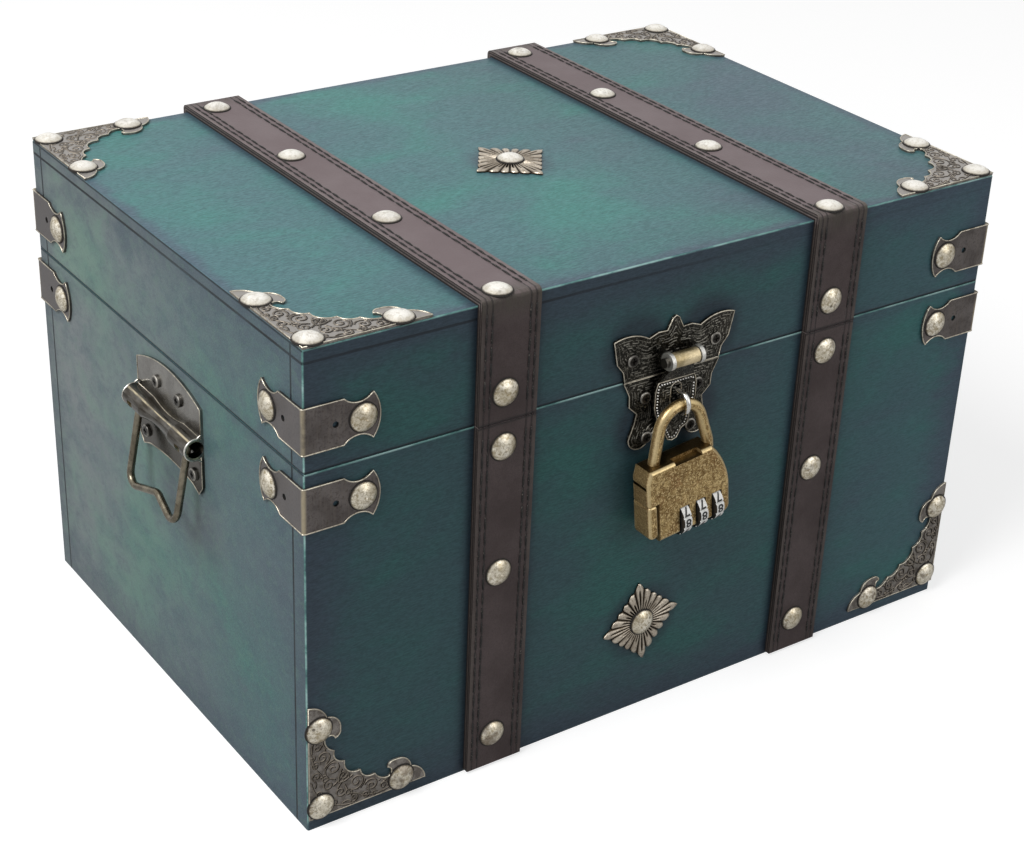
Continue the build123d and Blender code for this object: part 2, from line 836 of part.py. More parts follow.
# Hasp: hinged tongue, a bent strip cut to a shield and rolled round the pin
tongue_span = ear_gap - 2 * moving_gap
tongue_back = front_y - tongue_out + tongue_thickness / 2
with BuildPart() as hasp_tongue:
    with BuildSketch(Plane.YZ.offset(hasp_x - tongue_half_width)):
        with BuildLine():
            Polyline(
                (tongue_back, tongue_foot),
                (tongue_back - tongue_thickness, tongue_foot),
                (tongue_back - tongue_thickness, tongue_bend_height),
                (pin_y, pin_height - barrel_radius),
                (pin_y + barrel_radius / 2, pin_height - barrel_radius / 2),
                (tongue_back, tongue_bend_height),
                (tongue_back, tongue_foot),
            )
        make_face()
    extrude(amount=2 * tongue_half_width)
    tongue_rise = pin_height - tongue_foot
    with BuildSketch(on_front(hasp_x, tongue_foot)):
        with BuildLine():
            Polyline(
                (0, 0),
                (tongue_half_width * 0.22, tongue_rise * 0.02),
                (tongue_half_width * 0.42, tongue_rise * 0.12),
                (tongue_half_width * 0.72, tongue_rise * 0.16),
                (tongue_half_width * 0.78, tongue_rise * 0.28),
            )
            ThreePointArc(
                (tongue_half_width * 0.78, tongue_rise * 0.28),
                (tongue_half_width, tongue_rise * 0.45),
                (tongue_half_width * 0.92, tongue_rise * 0.70),
            )
            Polyline(
                (tongue_half_width * 0.92, tongue_rise * 0.70),
                (tongue_span / 2, tongue_rise * 0.86),
                (tongue_span / 2, tongue_rise),
                (0, tongue_rise),
                (0, 0),
            )
        make_face()
        mirror(about=Plane.YZ)
    extrude(amount=pin_out + barrel_radius, mode=Mode.INTERSECT)
    with Locations(Plane((hasp_x, pin_y, pin_height), z_dir=(1, 0, 0))):
        Cylinder(barrel_radius, tongue_span)
        Cylinder(pin_radius + running_room, tongue_span + 2 * cut_overrun, mode=Mode.SUBTRACT)
    slot_middle = (tongue_slot_foot + tongue_slot_head) / 2
    with BuildSketch(on_front(hasp_x, slot_middle)):
        SlotOverall(tongue_slot_head - tongue_slot_foot, tongue_slot_width, rotation=90)
    extrude(amount=pin_out + barrel_radius, mode=Mode.SUBTRACT)

# Padlock
def lock_spot(u, v):
    """A point in the padlock's middle plane: u to its right, v up from its top edge."""
    return lock_plane.from_local_coords((u, v, 0))


with BuildPart() as padlock_shackle:
    with BuildLine() as shackle_path:
        FilletPolyline(
            lock_spot(-shackle_half_span, -short_leg),
            lock_spot(-shackle_half_span, shackle_rise),
            lock_spot(0, arch_peak),
            lock_spot(shackle_half_span, shackle_rise),
            lock_spot(shackle_half_span, -long_leg),
            radius=(shackle_knee, shackle_arch, shackle_knee),
        )
    with BuildSketch(Plane(shackle_path.line @ 0, z_dir=shackle_path.line % 0)):
        Circle(shackle_bar)
    sweep(path=shackle_path.line)

lock_half = lock_width / 2
chamber_radius = dial_radius + dial_room
chamber_width = dial_width + 2 * dial_side_room
axle_start = dial_spots[0] - chamber_width / 2 - axle_grip
axle_end = dial_spots[-1] + chamber_width / 2 + axle_grip
slider_middle = -slider_drop - slider_height / 2
pocket_middle = slider_middle - slider_travel / 2


def lock_axis(u):
    """A plane across the dials' axle, u along it."""
    return Plane(lock_spot(u, -dial_drop), x_dir=(0, 1, 0), z_dir=lock_plane.x_dir)


def dial_wheel():
    """A number wheel on the XY plane's origin, turning about Z."""
    with BuildPart() as wheel:
        Cylinder(dial_radius, dial_width)
        Cylinder(dial_hub_radius, dial_width + 2 * dial_hub_step)
        with PolarLocations(dial_radius, dial_notches, start_angle=180 / dial_notches):
            Cylinder(dial_notch, dial_width + cut_overrun, mode=Mode.SUBTRACT)
        Cylinder(axle_radius + running_room, chamber_width, mode=Mode.SUBTRACT)
    return wheel.part


with BuildPart() as padlock_case:
    with BuildSketch(lock_plane) as lock_face:
        with BuildLine():
            Polyline(
                (lock_top_right, 0),
                (-lock_top_left, 0),
                (-lock_half, -lock_left_shoulder),
                (-lock_half, -lock_height),
                (lock_half, -lock_height),
                (lock_half, -lock_right_shoulder),
            )
            ThreePointArc(
                (lock_half, -lock_right_shoulder),
                (
                    lock_top_right + (lock_half - lock_top_right) * lock_bulge[0],
                    -lock_right_shoulder * lock_bulge[1],
                ),
                (lock_top_right, 0),
            )
        make_face()
        bottom_corners, _, left_shoulder, top_corners = lock_face.vertices().group_by(Axis.Y)
        fillet(bottom_corners, lock_corner)
        fillet(left_shoulder, lock_shoulder_round)
        fillet(top_corners, lock_top_round)
    extrude(amount=lock_depth / 2, both=True)
    fillet(padlock_case.faces().filter_by(Axis.Y).edges(), lock_face_round)
    with Locations(lock_plane):
        # The dip between the shackle's legs, and the notch in the upper left side
        with Locations((0, 0, lock_depth / 2)):
            Box(lock_dip_width, 2 * lock_dip, 2 * lock_dip_depth, mode=Mode.SUBTRACT)
        with Locations((-lock_half, -lock_notch_drop, -lock_cover)):
            Box(2 * lock_notch_reach, lock_notch_height, lock_depth, mode=Mode.SUBTRACT)
        # The slider's pocket and the slot for its stem
        with Locations((-lock_half, pocket_middle, 0)):
            Box(
                2 * (slider_width + slider_gap),
                slider_height + slider_travel + 2 * moving_gap,
                2 * lock_depth,
                mode=Mode.SUBTRACT,
            )
        with Locations((-lock_half + slider_width + stem_length / 2, pocket_middle, 0)):
            Box(
                stem_length + 2 * moving_gap,
                stem_height + slider_travel + 2 * moving_gap,
                stem_depth + 2 * moving_gap,
                mode=Mode.SUBTRACT,
            )
        # The dials' windows, open at the bottom
        for u in dial_spots:
            with Locations((u, -dial_drop - chamber_radius / 2, 0)):
                Box(chamber_width, chamber_radius, 2 * chamber_radius, mode=Mode.SUBTRACT)
    with Locations(*[lock_axis(u) for u in dial_spots]):
        Cylinder(chamber_radius, chamber_width, mode=Mode.SUBTRACT)
    with Locations(lock_axis((axle_start + axle_end) / 2)):
        Cylinder(axle_radius + hole_room, axle_end - axle_start, mode=Mode.SUBTRACT)
    with Locations(Plane(lock_spot(-shackle_half_span, 0), z_dir=lock_plane.y_dir)):
        Hole(shackle_bar + leg_room, short_leg + moving_gap)
    with Locations(Plane(lock_spot(shackle_half_span, 0), z_dir=lock_plane.y_dir)):
        Hole(shackle_bar + leg_room, long_leg + moving_gap)

with BuildPart() as padlock_front_shell:
    add(padlock_case.part)
    split(bisect_by=lock_plane, keep=Keep.TOP)

with BuildPart() as padlock_back_shell:
    add(padlock_case.part)
    split(bisect_by=lock_plane, keep=Keep.BOTTOM)

with BuildPart() as padlock_dial_axle:
    with Locations(lock_axis((axle_start + axle_end) / 2)):
        Cylinder(axle_radius, axle_end - axle_start)

with BuildPart() as padlock_slider:
    with BuildSketch(lock_plane) as slider_face:
        with Locations((-lock_half + slider_width / 2, slider_middle)):
            Rectangle(slider_width, slider_height)
        fillet(slider_face.vertices().group_by(Axis.Y)[0], slider_round)
        fillet(slider_face.vertices().group_by(Axis.Y)[-1], slider_face_round)
    extrude(amount=lock_depth / 2, both=True)
    fillet(padlock_slider.faces().filter_by(Axis.Y).edges(), slider_face_round)
    with Locations(lock_plane):
        with Locations((-lock_half + slider_width + stem_length / 2 - moving_gap, slider_middle, 0)):
            Box(stem_length + 2 * moving_gap, stem_height, stem_depth)

dial_shape = dial_wheel()

with BuildPart() as padlock_dial_1:
    with Locations(lock_axis(dial_spots[0])):
        add(dial_shape)

with BuildPart() as padlock_dial_2:
    with Locations(lock_axis(dial_spots[1])):
        add(dial_shape)

with BuildPart() as padlock_dial_3:
    with Locations(lock_axis(dial_spots[2])):
        add(dial_shape)


def waisted_barrel(end_radius, waist_radius):
    """A barrel along X with a saddle in its middle, its axis lifted off the wood."""
    half = handle_half_width
    saddle = half * handle_saddle_share
    with BuildPart() as barrel:
        with BuildSketch(Plane.XY.offset(handle_out)):
            with BuildLine():
                Polyline((saddle, end_radius), (half, end_radius), (half, 0), (-half, 0))
                Polyline((-half, 0), (-half, end_radius), (-saddle, end_radius))
                ThreePointArc((-saddle, end_radius), (0, waist_radius), (saddle, end_radius))
            make_face()
        revolve(axis=Axis((0, 0, handle_out), (1, 0, 0)))
    return barrel.part


def handle_bracket():
    """A pressed bracket with its barrel's axis over the origin and +Z away from the wood."""
    half = handle_half_width
    with BuildPart() as bracket:
        with BuildSketch():
            with BuildLine():
                ThreePointArc((-half, handle_shoulder), (0, handle_rise), (half, handle_shoulder))
                Polyline(
                    (half, handle_shoulder),
                    (half, -handle_drop * 0.82),
                    (half * 0.89, -handle_drop),
                    (half * 0.70, -handle_drop * 0.90),
                )
                ThreePointArc(
                    (half * 0.70, -handle_drop * 0.90),
                    (0, -handle_drop * 0.82),
                    (-half * 0.70, -handle_drop * 0.90),
                )
                Polyline(
                    (-half * 0.70, -handle_drop * 0.90),
                    (-half * 0.89, -handle_drop),
                    (-half, -handle_drop * 0.82),
                    (-half, handle_shoulder),
                )
            make_face()
        extrude(amount=handle_sheet)
        add(waisted_barrel(handle_barrel, handle_waist))
        add(
            waisted_barrel(handle_barrel - handle_sheet, handle_waist - handle_sheet),
            mode=Mode.SUBTRACT,
        )
        split(bisect_by=Plane.XY, keep=Keep.TOP)
        # Slots that let the wire swing up, open at the bottom of the barrel
        slot_head = bail_wire + moving_gap - bail_sag
        for side in (-1, 1):
            with Locations((side * bail_half_width, slot_head, handle_out - bail_wire)):
                Box(
                    2 * (bail_wire + bail_slot_room),
                    2 * handle_barrel,
                    2 * handle_barrel,
                    align=(Align.CENTER, Align.MAX, Align.MIN),
                    mode=Mode.SUBTRACT,
                )
        for side in (-1, 1):
            with Locations(*[(side * a, b, handle_sheet) for a, b in handle_screw_spots]):
                Hole(screw_hole, handle_sheet)
    return bracket.part


def handle_bail():
    """A wire handle hung from its hooks' axis along X, leaning away from the wood."""
    lean_angle = radians(bail_lean)
    lean = Plane((0, -bail_sag, handle_out), x_dir=(1, 0, 0), z_dir=(0, sin(lean_angle), cos(lean_angle)))
    hook_tip = bail_half_width - bail_hook

    def wire_spot(a, drop):
        return lean.from_local_coords((a, -drop, 0))

    with BuildPart() as bail:
        with BuildLine() as wire:
            FilletPolyline(
                wire_spot(-hook_tip, 0),
                wire_spot(-bail_half_width, 0),
                wire_spot(-bail_half_width, bail_drop),
                wire_spot(bail_kink_offset, bail_drop - bail_kink),
                wire_spot(bail_half_width, bail_drop),
                wire_spot(bail_half_width, 0),
                wire_spot(hook_tip, 0),
                radius=(bail_hook_round, bail_corner, bail_corner, bail_corner, bail_hook_round),
            )
        with BuildSketch(Plane(wire.line @ 0, z_dir=wire.line % 0)):
            Circle(bail_wire)
        sweep(path=wire.line)
    return bail.part


bracket_shape = handle_bracket()
bail_shape = handle_bail()

with BuildPart() as handle_bracket_left:
    with Locations(on_left(handle_y, handle_height)):
        add(bracket_shape)

with BuildPart() as handle_bracket_right:
    with Locations(on_right(handle_y, handle_height)):
        add(bracket_shape)

with BuildPart() as handle_bail_left:
    with Locations(on_left(handle_y, handle_height)):
        add(bail_shape)

with BuildPart() as handle_bail_right:
    with Locations(on_right(handle_y, handle_height)):
        add(bail_shape)

with BuildPart() as handle_screws:
    with Locations(*handle_left_spots, *handle_right_spots):
        add(screw_shape)

# Rear hinges: the base holds the two outer knuckles, the lid the middle one
knuckle = hinge_width * hinge_knuckle_share
middle_knuckle = hinge_width - 2 * knuckle
hinge_y = back_y + hinge_out
hinge_z = base_height + seam_gap / 2


def hinge_axis(x):
    """A plane across a hinge's pin at x."""
    return Plane((x, hinge_y, hinge_z), x_dir=(0, 1, 0), z_dir=(1, 0, 0))


outer_knuckle_planes = [
    hinge_axis(x + side * (hinge_width - knuckle) / 2) for x in hinge_xs for side in (-1, 1)
]
middle_knuckle_planes = [hinge_axis(x) for x in hinge_xs]

with BuildPart() as hinge_base_leaves:
    for x in hinge_xs:
        with BuildSketch(on_back(x, base_height)):
            Rectangle(hinge_width, hinge_leaf_height, align=(Align.CENTER, Align.MAX))
    extrude(amount=hinge_leaf)
    with Locations(*middle_knuckle_planes):
        Cylinder(hinge_barrel + moving_gap, middle_knuckle, mode=Mode.SUBTRACT)
    with Locations(*outer_knuckle_planes):
        Cylinder(hinge_barrel, knuckle)
        Cylinder(hinge_pin + hole_room, knuckle, mode=Mode.SUBTRACT)
    drill(hinge_base_spots, screw_hole, hinge_leaf)

with BuildPart() as hinge_lid_leaves:
    for x in hinge_xs:
        with BuildSketch(on_back(x, lid_foot)):
            Rectangle(hinge_width, hinge_leaf_height, align=(Align.CENTER, Align.MIN))
    extrude(amount=hinge_leaf)
    with Locations(*outer_knuckle_planes):
        Cylinder(hinge_barrel + moving_gap, knuckle + 2 * moving_gap, mode=Mode.SUBTRACT)
    with Locations(*middle_knuckle_planes):
        Cylinder(hinge_barrel, middle_knuckle - 2 * moving_gap)
        Cylinder(hinge_pin + running_room, middle_knuckle, mode=Mode.SUBTRACT)
    drill(hinge_lid_spots, screw_hole, hinge_leaf)

with BuildPart() as hinge_pins:
    with Locations(*middle_knuckle_planes):
        Cylinder(hinge_pin, hinge_width)

with BuildPart() as hinge_base_screws:
    with Locations(*hinge_base_spots):
        add(screw_shape)

with BuildPart() as hinge_lid_screws:
    with Locations(*hinge_lid_spots):
        add(screw_shape)

# Labels and files, one per piece
pieces = {
    "base_bottom": base_bottom,
    "base_front": base_front,
    "base_back": base_back,
    "base_left": base_left,
    "base_right": base_right,
    "base_front_straps": base_front_straps,
    "base_back_straps": base_back_straps,
    "base_strap_nails": base_strap_nails,
    "base_corner_brackets": base_corner_brackets,
    "base_bracket_nails": base_bracket_nails,
    "bottom_corner_plates": bottom_corner_plates,
    "bottom_plate_nails": bottom_plate_nails,
    "front_rosette": front_rosette,
    "front_rosette_nail": front_rosette_nail,
    "hasp_base_plate": hasp_base_plate,
    "hasp_base_screws": hasp_base_screws,
    "hasp_staple": hasp_staple,
    "handle_bracket_left": handle_bracket_left,
    "handle_bracket_right": handle_bracket_right,
    "handle_screws": handle_screws,
    "handle_bail_left": handle_bail_left,
    "handle_bail_right": handle_bail_right,
    "hinge_base_leaves": hinge_base_leaves,
    "hinge_base_screws": hinge_base_screws,
    "hinge_pins": hinge_pins,
    "lid_top": lid_top,
    "lid_front": lid_front,
    "lid_back": lid_back,
    "lid_left": lid_left,
    "lid_right": lid_right,
    "lid_straps": lid_straps,
    "lid_strap_nails": lid_strap_nails,
    "lid_corner_brackets": lid_corner_brackets,
    "lid_bracket_nails": lid_bracket_nails,
    "top_corner_plates": top_corner_plates,
    "top_plate_nails": top_plate_nails,
    "top_rosette": top_rosette,
    "top_rosette_nail": top_rosette_nail,
    "hasp_lid_plate": hasp_lid_plate,
    "hasp_lid_screws": hasp_lid_screws,
    "hasp_pin": hasp_pin,
    "hinge_lid_leaves": hinge_lid_leaves,
    "hinge_lid_screws": hinge_lid_screws,
    "hasp_tongue": hasp_tongue,
    "padlock_shackle": padlock_shackle,
    "padlock_front_shell": padlock_front_shell,
    "padlock_back_shell": padlock_back_shell,
    "padlock_dial_axle": padlock_dial_axle,
    "padlock_slider": padlock_slider,
    "padlock_dial_1": padlock_dial_1,
    "padlock_dial_2": padlock_dial_2,
    "padlock_dial_3": padlock_dial_3,
}
for name, piece in pieces.items():
    piece.part.label = name
    export_step(piece.part, f"parts/{name}.step")
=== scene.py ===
import math
import random

import bmesh
import bpy
from mathutils import Matrix, Vector


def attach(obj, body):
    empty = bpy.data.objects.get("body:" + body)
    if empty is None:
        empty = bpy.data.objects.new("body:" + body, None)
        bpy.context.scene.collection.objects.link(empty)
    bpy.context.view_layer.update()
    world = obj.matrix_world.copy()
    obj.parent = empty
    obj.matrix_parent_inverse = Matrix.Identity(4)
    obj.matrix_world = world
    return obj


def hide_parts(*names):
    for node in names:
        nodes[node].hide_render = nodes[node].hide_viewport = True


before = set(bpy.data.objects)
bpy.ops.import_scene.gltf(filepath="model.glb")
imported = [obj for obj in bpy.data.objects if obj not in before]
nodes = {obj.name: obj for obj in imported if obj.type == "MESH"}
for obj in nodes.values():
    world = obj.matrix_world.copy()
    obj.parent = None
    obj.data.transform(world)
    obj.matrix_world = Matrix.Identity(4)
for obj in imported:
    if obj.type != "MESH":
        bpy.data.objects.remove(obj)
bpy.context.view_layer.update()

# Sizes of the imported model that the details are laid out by, in metres, and the padlock's roll in degrees
mm = 0.001
half_width = 160.0 * mm
half_depth = 110.5 * mm
seam = 152.5 * mm
top_z = 199.2 * mm
top_joint = 194.2 * mm
wall = 8.0 * mm
barrel_z = 127.2 * mm
hasp_x = -2.7 * mm
pin_spot = (-117.9 * mm, 160.4 * mm)
strap_xs = (-78.6 * mm, 75.4 * mm)
strap_half = 12.5 * mm
strap_thickness = 2.8 * mm
row_insets = (2.0 * mm, 4.4 * mm)
lock_roll = 7.0
sides = (-1, 1)
east, south, north, upward = (Vector(axis) for axis in ((1, 0, 0), (0, -1, 0), (0, 1, 0), (0, 0, 1)))


def turned(degrees, first, second):
    """A direction this far from a first one towards a second one."""
    angle = math.radians(degrees)
    return first * math.cos(angle) + second * math.sin(angle)


def arms(count, first, second):
    """Directions spread evenly round a circle."""
    return [turned(360 * k / count, first, second) for k in range(count)]


# Shader graphs


class Tree:
    """A node tree, with short ways to add to it."""

    def __init__(self, tree):
        self.tree = tree

    def plug(self, socket, value):
        if isinstance(value, bpy.types.NodeSocket):
            self.tree.links.new(value, socket)
        elif value is not None:
            socket.default_value = (*value, 1.0) if socket.type == "RGBA" and len(value) == 3 else value

    def node(self, kind, *values, **settings):
        """A new node with these settings, and these values or links on its first inputs."""
        node = self.tree.nodes.new("ShaderNode" + kind)
        for key, value in settings.items():
            setattr(node, key, value)
        for socket, value in zip(node.inputs, values):
            self.plug(socket, value)
        return node

    def calc(self, operation, *values):
        return self.node("Math", *values, operation=operation).outputs[0]

    def add(self, first, second):
        return self.calc("ADD", first, second)

    def sub(self, first, second):
        return self.calc("SUBTRACT", first, second)

    def mul(self, first, second):
        return self.calc("MULTIPLY", first, second)

    def most(self, first, second):
        return self.calc("MAXIMUM", first, second)

    def least(self, first, second):
        return self.calc("MINIMUM", first, second)

    def size(self, value):
        return self.calc("ABSOLUTE", value)

    def off(self, value, middle):
        """How far a value lies from a middle, on either side."""
        return self.size(self.sub(value, middle))

    def ramp(self, value, low, high, to_low=0.0, to_high=1.0):
        """A smooth ramp from one number at the low end to another at the high end."""
        numbers = (value, low, high, to_low, to_high)
        return self.node("MapRange", *numbers, interpolation_type="SMOOTHSTEP").outputs[0]

    def fade(self, value, low, high, start=1.0):
        """A smooth ramp down to zero."""
        return self.ramp(value, low, high, start, 0.0)


class Graph(Tree):
    """A new material's node tree."""

    def __init__(self, name, **fixed):
        self.material = bpy.data.materials.new(name)
        self.material.use_nodes = True
        super().__init__(self.material.node_tree)
        self.shader = self.tree.nodes["Principled BSDF"]
        for socket, value in fixed.items():
            self.shader.inputs[socket.replace("_", " ")].default_value = value
        coords = self.node("TexCoord").outputs
        self.place = coords["Object"]
        self.normal = coords["Normal"]

    def split(self, vector):
        return self.node("SeparateXYZ", vector).outputs[:3]

    def stretch(self, vector, scale, turn=(0, 0, 0)):
        rotation = [math.radians(angle) for angle in turn]
        return self.node("Mapping", vector, None, rotation, scale).outputs[0]

    def noise(self, vector, scale, detail=3.0, roughness=0.55, distortion=0.0):
        kept = (None, None, None)
        return self.node("TexNoise", vector, None, scale, detail, roughness, *kept, distortion).outputs[0]

    def cells(self, scale):
        return self.node("TexVoronoi", self.place, None, scale).outputs["Distance"]

    def mix(self, factor, first, second, mode="MIX"):
        node = self.node("Mix", factor, data_type="RGBA", blend_type=mode)
        self.plug(node.inputs[6], first)
        self.plug(node.inputs[7], second)
        return node.outputs[2]

    def paint(self, factor, tone, mode="MIX"):
        """Lays a tone over the colour so far."""
        self.colour = self.mix(factor, self.colour, tone, mode)

    def distance(self, x, y, z):
        """How far the shaded place is from a spot given in millimetres."""
        spot = Vector((x, y, z)) * mm
        return self.node("VectorMath", self.place, spot, operation="DISTANCE").outputs["Value"]

    def attribute(self, name):
        return self.node("Attribute", attribute_name=name).outputs["Fac"]

    def bump(self, height, distance, strength):
        return self.node("Bump", strength, distance, None, height).outputs[0]

    def finish(self, roughness, normal=None):
        for socket, value in (("Base Color", self.colour), ("Roughness", roughness), ("Normal", normal)):
            self.plug(self.shader.inputs[socket], value)
        return self.material


def facing(g):
    """How far a surface faces up, to the front and to an end, from 0 to 1 each."""
    across, along, up = g.split(g.normal)
    return [g.ramp(value, 0.55, 0.8) for value in (up, g.size(along), g.size(across))]


# Where the stain pooled green (weight above 0) or navy (below 0): x, y, z, radius, weight
stains = (
    (-15, -58, 199, 40, 0.55), (-22, 62, 199, 42, 0.35), (-122, -22, 199, 62, 0.4),
    (-135, 55, 199, 45, 0.2), (128, 5, 199, 85, -0.8), (125, -75, 199, 45, -0.55),
    (55, -84, 199, 32, -0.55), (40, 60, 199, 50, -0.3), (-50, -110, 118, 34, 0.75),
    (-25, -110, 68, 40, 0.35), (24, -110, 44, 42, 0.3), (-120, -110, 108, 44, 0.45),
    (150, -110, 112, 34, 0.65), (-70, -110, 178, 45, -0.45), (112, -110, 60, 46, -0.3),
    (60, -110, 130, 40, -0.25), (-160, 15, 62, 60, 0.55), (-160, 50, 150, 62, 0.3),
    (-160, -96, 112, 52, -0.7), (-160, -25, 8, 60, -0.8), (-160, 95, 90, 34, -0.2),
)


# Darker stain and painted shade round the rosettes, the hasp and the left handle: x, y, z, radius of the core
# and of the rim
stain_and_shade_spots = (
    (-4.5, -3.5, 199.2, 11, 21), (-7.8, -110.5, 41.2, 11, 21), (-20, -110.5, 165, 10, 19),
    (14.6, -110.5, 165, 10, 19), (-14, -110.5, 132, 9, 17), (8.6, -110.5, 132, 9, 17),
    (-2.7, -110.5, 150, 14, 22), (-160, -12, 104, 8, 34), (-160, -30, 92, 2, 30),
)


def stained_wood():
    """Teal stain with short brush strokes, navy towards the edges, darker stain and painted shade round the
    fittings, painted light and a painted sheen on the top, the ends and the front's right-hand side, and pale
    arrises that are partly wear and partly a painted highlight.
    """
    g = Graph("stained_wood", Specular_IOR_Level=0.26)
    x, y, z = g.split(g.place)
    top, front, end = facing(g)
    dx = g.sub(half_width, g.size(x))
    dy = g.sub(half_depth, g.size(y))
    to_seam = g.off(z, seam)
    below_top = g.sub(top_z, z)
    to_level = g.least(below_top, z)
    low, high = g.least(dx, dy), g.most(dx, dy)
    edge = g.most(low, g.least(high, g.least(to_level, to_seam)))
    outer = g.most(low, g.least(high, to_level))
    # Broad pools, brush strokes along the boards, and finer grain in them
    broad = g.noise(g.stretch(g.place, (1, 1.3, 1.6), (0, 0, 20)), 15, 3.0, 0.55, 0.4)
    patch = g.noise(g.stretch(g.place, (0.8, 1.6, 2.0), (0, 0, -24)), 38, 5.0, 0.68, 0.3)
    strokes = g.noise(g.stretch(g.place, (330, 1900, 1900), (0, 4, -10)), 1.0, 1.5, 0.55, 0.3)
    grain = g.noise(g.stretch(g.place, (800, 2100, 2100), (0, 3, -20)), 1.0, 1.0, 0.6)
    pool = g.add(g.mul(broad, 0.9), g.mul(patch, 0.55))
    for sx, sy, sz, radius, weight in stains:
        away = g.distance(sx, sy, sz)
        pool = g.add(pool, g.fade(away, 0.0, radius * mm, weight * 0.34))
    wander = g.sub(patch, 0.5)
    reach = g.sub(0.024, g.mul(top, 0.017))
    spread = g.sub(0.03, g.mul(top, 0.02))
    inner = g.ramp(g.add(outer, g.mul(wander, spread)), 0.0, reach)
    near_seam = g.fade(g.add(edge, g.mul(wander, 0.014)), 0.0, 0.007, 0.45)
    g.colour = g.mix(g.ramp(pool, 0.66, 1.02), (0.031, 0.082, 0.09), (0.024, 0.106, 0.096))
    g.paint(g.fade(pool, 0.36, 0.68, 0.85), (0.036, 0.063, 0.083))
    g.colour = g.mix(inner, (0.034, 0.06, 0.08), g.colour)
    g.paint(near_seam, (0.03, 0.052, 0.07))
    # Darker stain and painted shade beside the straps, round the rosettes, the hasp and the left handle
    beside = g.least(*[g.sub(g.off(x, strap_x), strap_half) for strap_x in strap_xs])
    stain_and_shade = g.mul(g.fade(beside, 0.0, 0.0055, 0.75), g.most(top, front))
    for hx, hy, hz, core, rim in stain_and_shade_spots:
        away = g.distance(hx, hy, hz)
        stain_and_shade = g.most(stain_and_shade, g.fade(away, core * mm, rim * mm, 0.75))
    skin = g.least(low, below_top)
    stain_and_shade = g.mul(stain_and_shade, g.fade(skin, 0.001, 0.0025))
    g.paint(stain_and_shade, (0.016, 0.026, 0.04))
    swing = g.add(g.ramp(strokes, 0.34, 0.66, -0.31, 0.31), g.ramp(grain, 0.3, 0.7, -0.26, 0.26))
    calm = g.add(g.mul(top, 0.1), g.mul(end, 0.1))
    tone = g.add(g.mul(swing, g.add(calm, 0.36)), 0.95)
    # Painted light: the front is painted lighter towards its right-hand end
    tone = g.add(tone, g.mul(front, g.ramp(x, 0.0, half_width, 0.0, 0.45)))
    # Painted light: the top is painted lighter than the front, and the ends carry a painted sheen
    upper = g.add(g.ramp(x, -0.01, 0.055, 1.25, 1.02), g.fade(y, -0.104, -0.06, -0.24))
    light_gain = g.add(g.mul(top, upper), g.mul(end, 0.5))
    tone = g.mul(tone, g.add(light_gain, 0.92))
    g.paint(1.0, tone, "MULTIPLY")
    paler = g.add(g.ramp(y, -0.1, 0.11, 0.22, 0.84), g.fade(z, 0.0, 0.12, -0.12))
    paler = g.mul(paler, g.ramp(patch, 0.3, 0.62, 0.62, 1.18))
    painted_sheen = g.add(g.mul(end, paler), g.mul(top, 0.05))
    greener = g.ramp(pool, 0.62, 1.0)
    sheen_tone = g.mix(greener, (0.195, 0.22, 0.226), (0.165, 0.255, 0.215))
    g.paint(painted_sheen, g.mix(inner, (0.125, 0.15, 0.16), sheen_tone))
    mottle = g.noise(g.stretch(g.place, (1, 1, 1.5), (12, 0, 0)), 240, 4.0, 0.7)
    g.paint(g.mul(end, g.ramp(mottle, 0.46, 0.68, 0.0, 0.38)), (0.075, 0.1, 0.125))
    g.paint(g.mul(end, g.fade(mottle, 0.34, 0.5, 0.32)), (0.105, 0.185, 0.15))
    # Pale arrises, partly wear and partly a painted highlight, and the joints between boards
    pale_edge = g.mul(g.fade(outer, 0.0002, 0.0008, 0.95), g.ramp(z, 0.002, 0.006, 0.1, 1.0))
    below_seam = g.mul(g.fade(z, seam - 0.0001, seam + 0.0001), front)
    pale_edge = g.most(pale_edge, g.mul(below_seam, g.fade(to_seam, 0.0004, 0.0012, 0.95)))
    pale_edge = g.mul(pale_edge, g.ramp(dy, 0.0005, 0.003, 1.0, 0.15))
    pale_edge = g.mul(pale_edge, g.ramp(patch, 0.34, 0.52, 0.1, 1.0))
    g.paint(pale_edge, g.mix(g.ramp(patch, 0.45, 0.62), (0.12, 0.3, 0.26), (0.34, 0.56, 0.52)))
    on_front = g.mul(front, g.ramp(x, -0.05, 0.05, 0.75, 0.15))
    along_z = g.mul(g.fade(g.off(z, top_joint), 0.0003, 0.0008), g.most(on_front, end))
    along_y = g.mul(g.fade(g.off(dy, wall), 0.0003, 0.0008), end)
    joint = g.mul(g.most(along_z, along_y), g.ramp(broad, 0.25, 0.5, 0.6, 1.0))
    arris = g.least(to_seam, below_top)
    joint = g.most(joint, g.mul(end, g.fade(arris, 0.0004, 0.0011, 0.95)))
    above_seam = g.mul(g.ramp(z, seam - 0.0001, seam + 0.0001), front)
    joint = g.most(joint, g.mul(above_seam, g.fade(to_seam, 0.0004, 0.0011, 0.85)))
    g.paint(joint, (0.006, 0.01, 0.014))
    g.paint(g.mul(front, 0.8), (1.08, 0.98, 1.04), "MULTIPLY")
    height = g.add(strokes, g.mul(grain, 0.6))
    height = g.sub(height, g.mul(joint, 2.0))
    return g.finish(g.ramp(strokes, 0.3, 0.7, 0.5, 0.4), g.bump(height, 0.00008, 0.5))


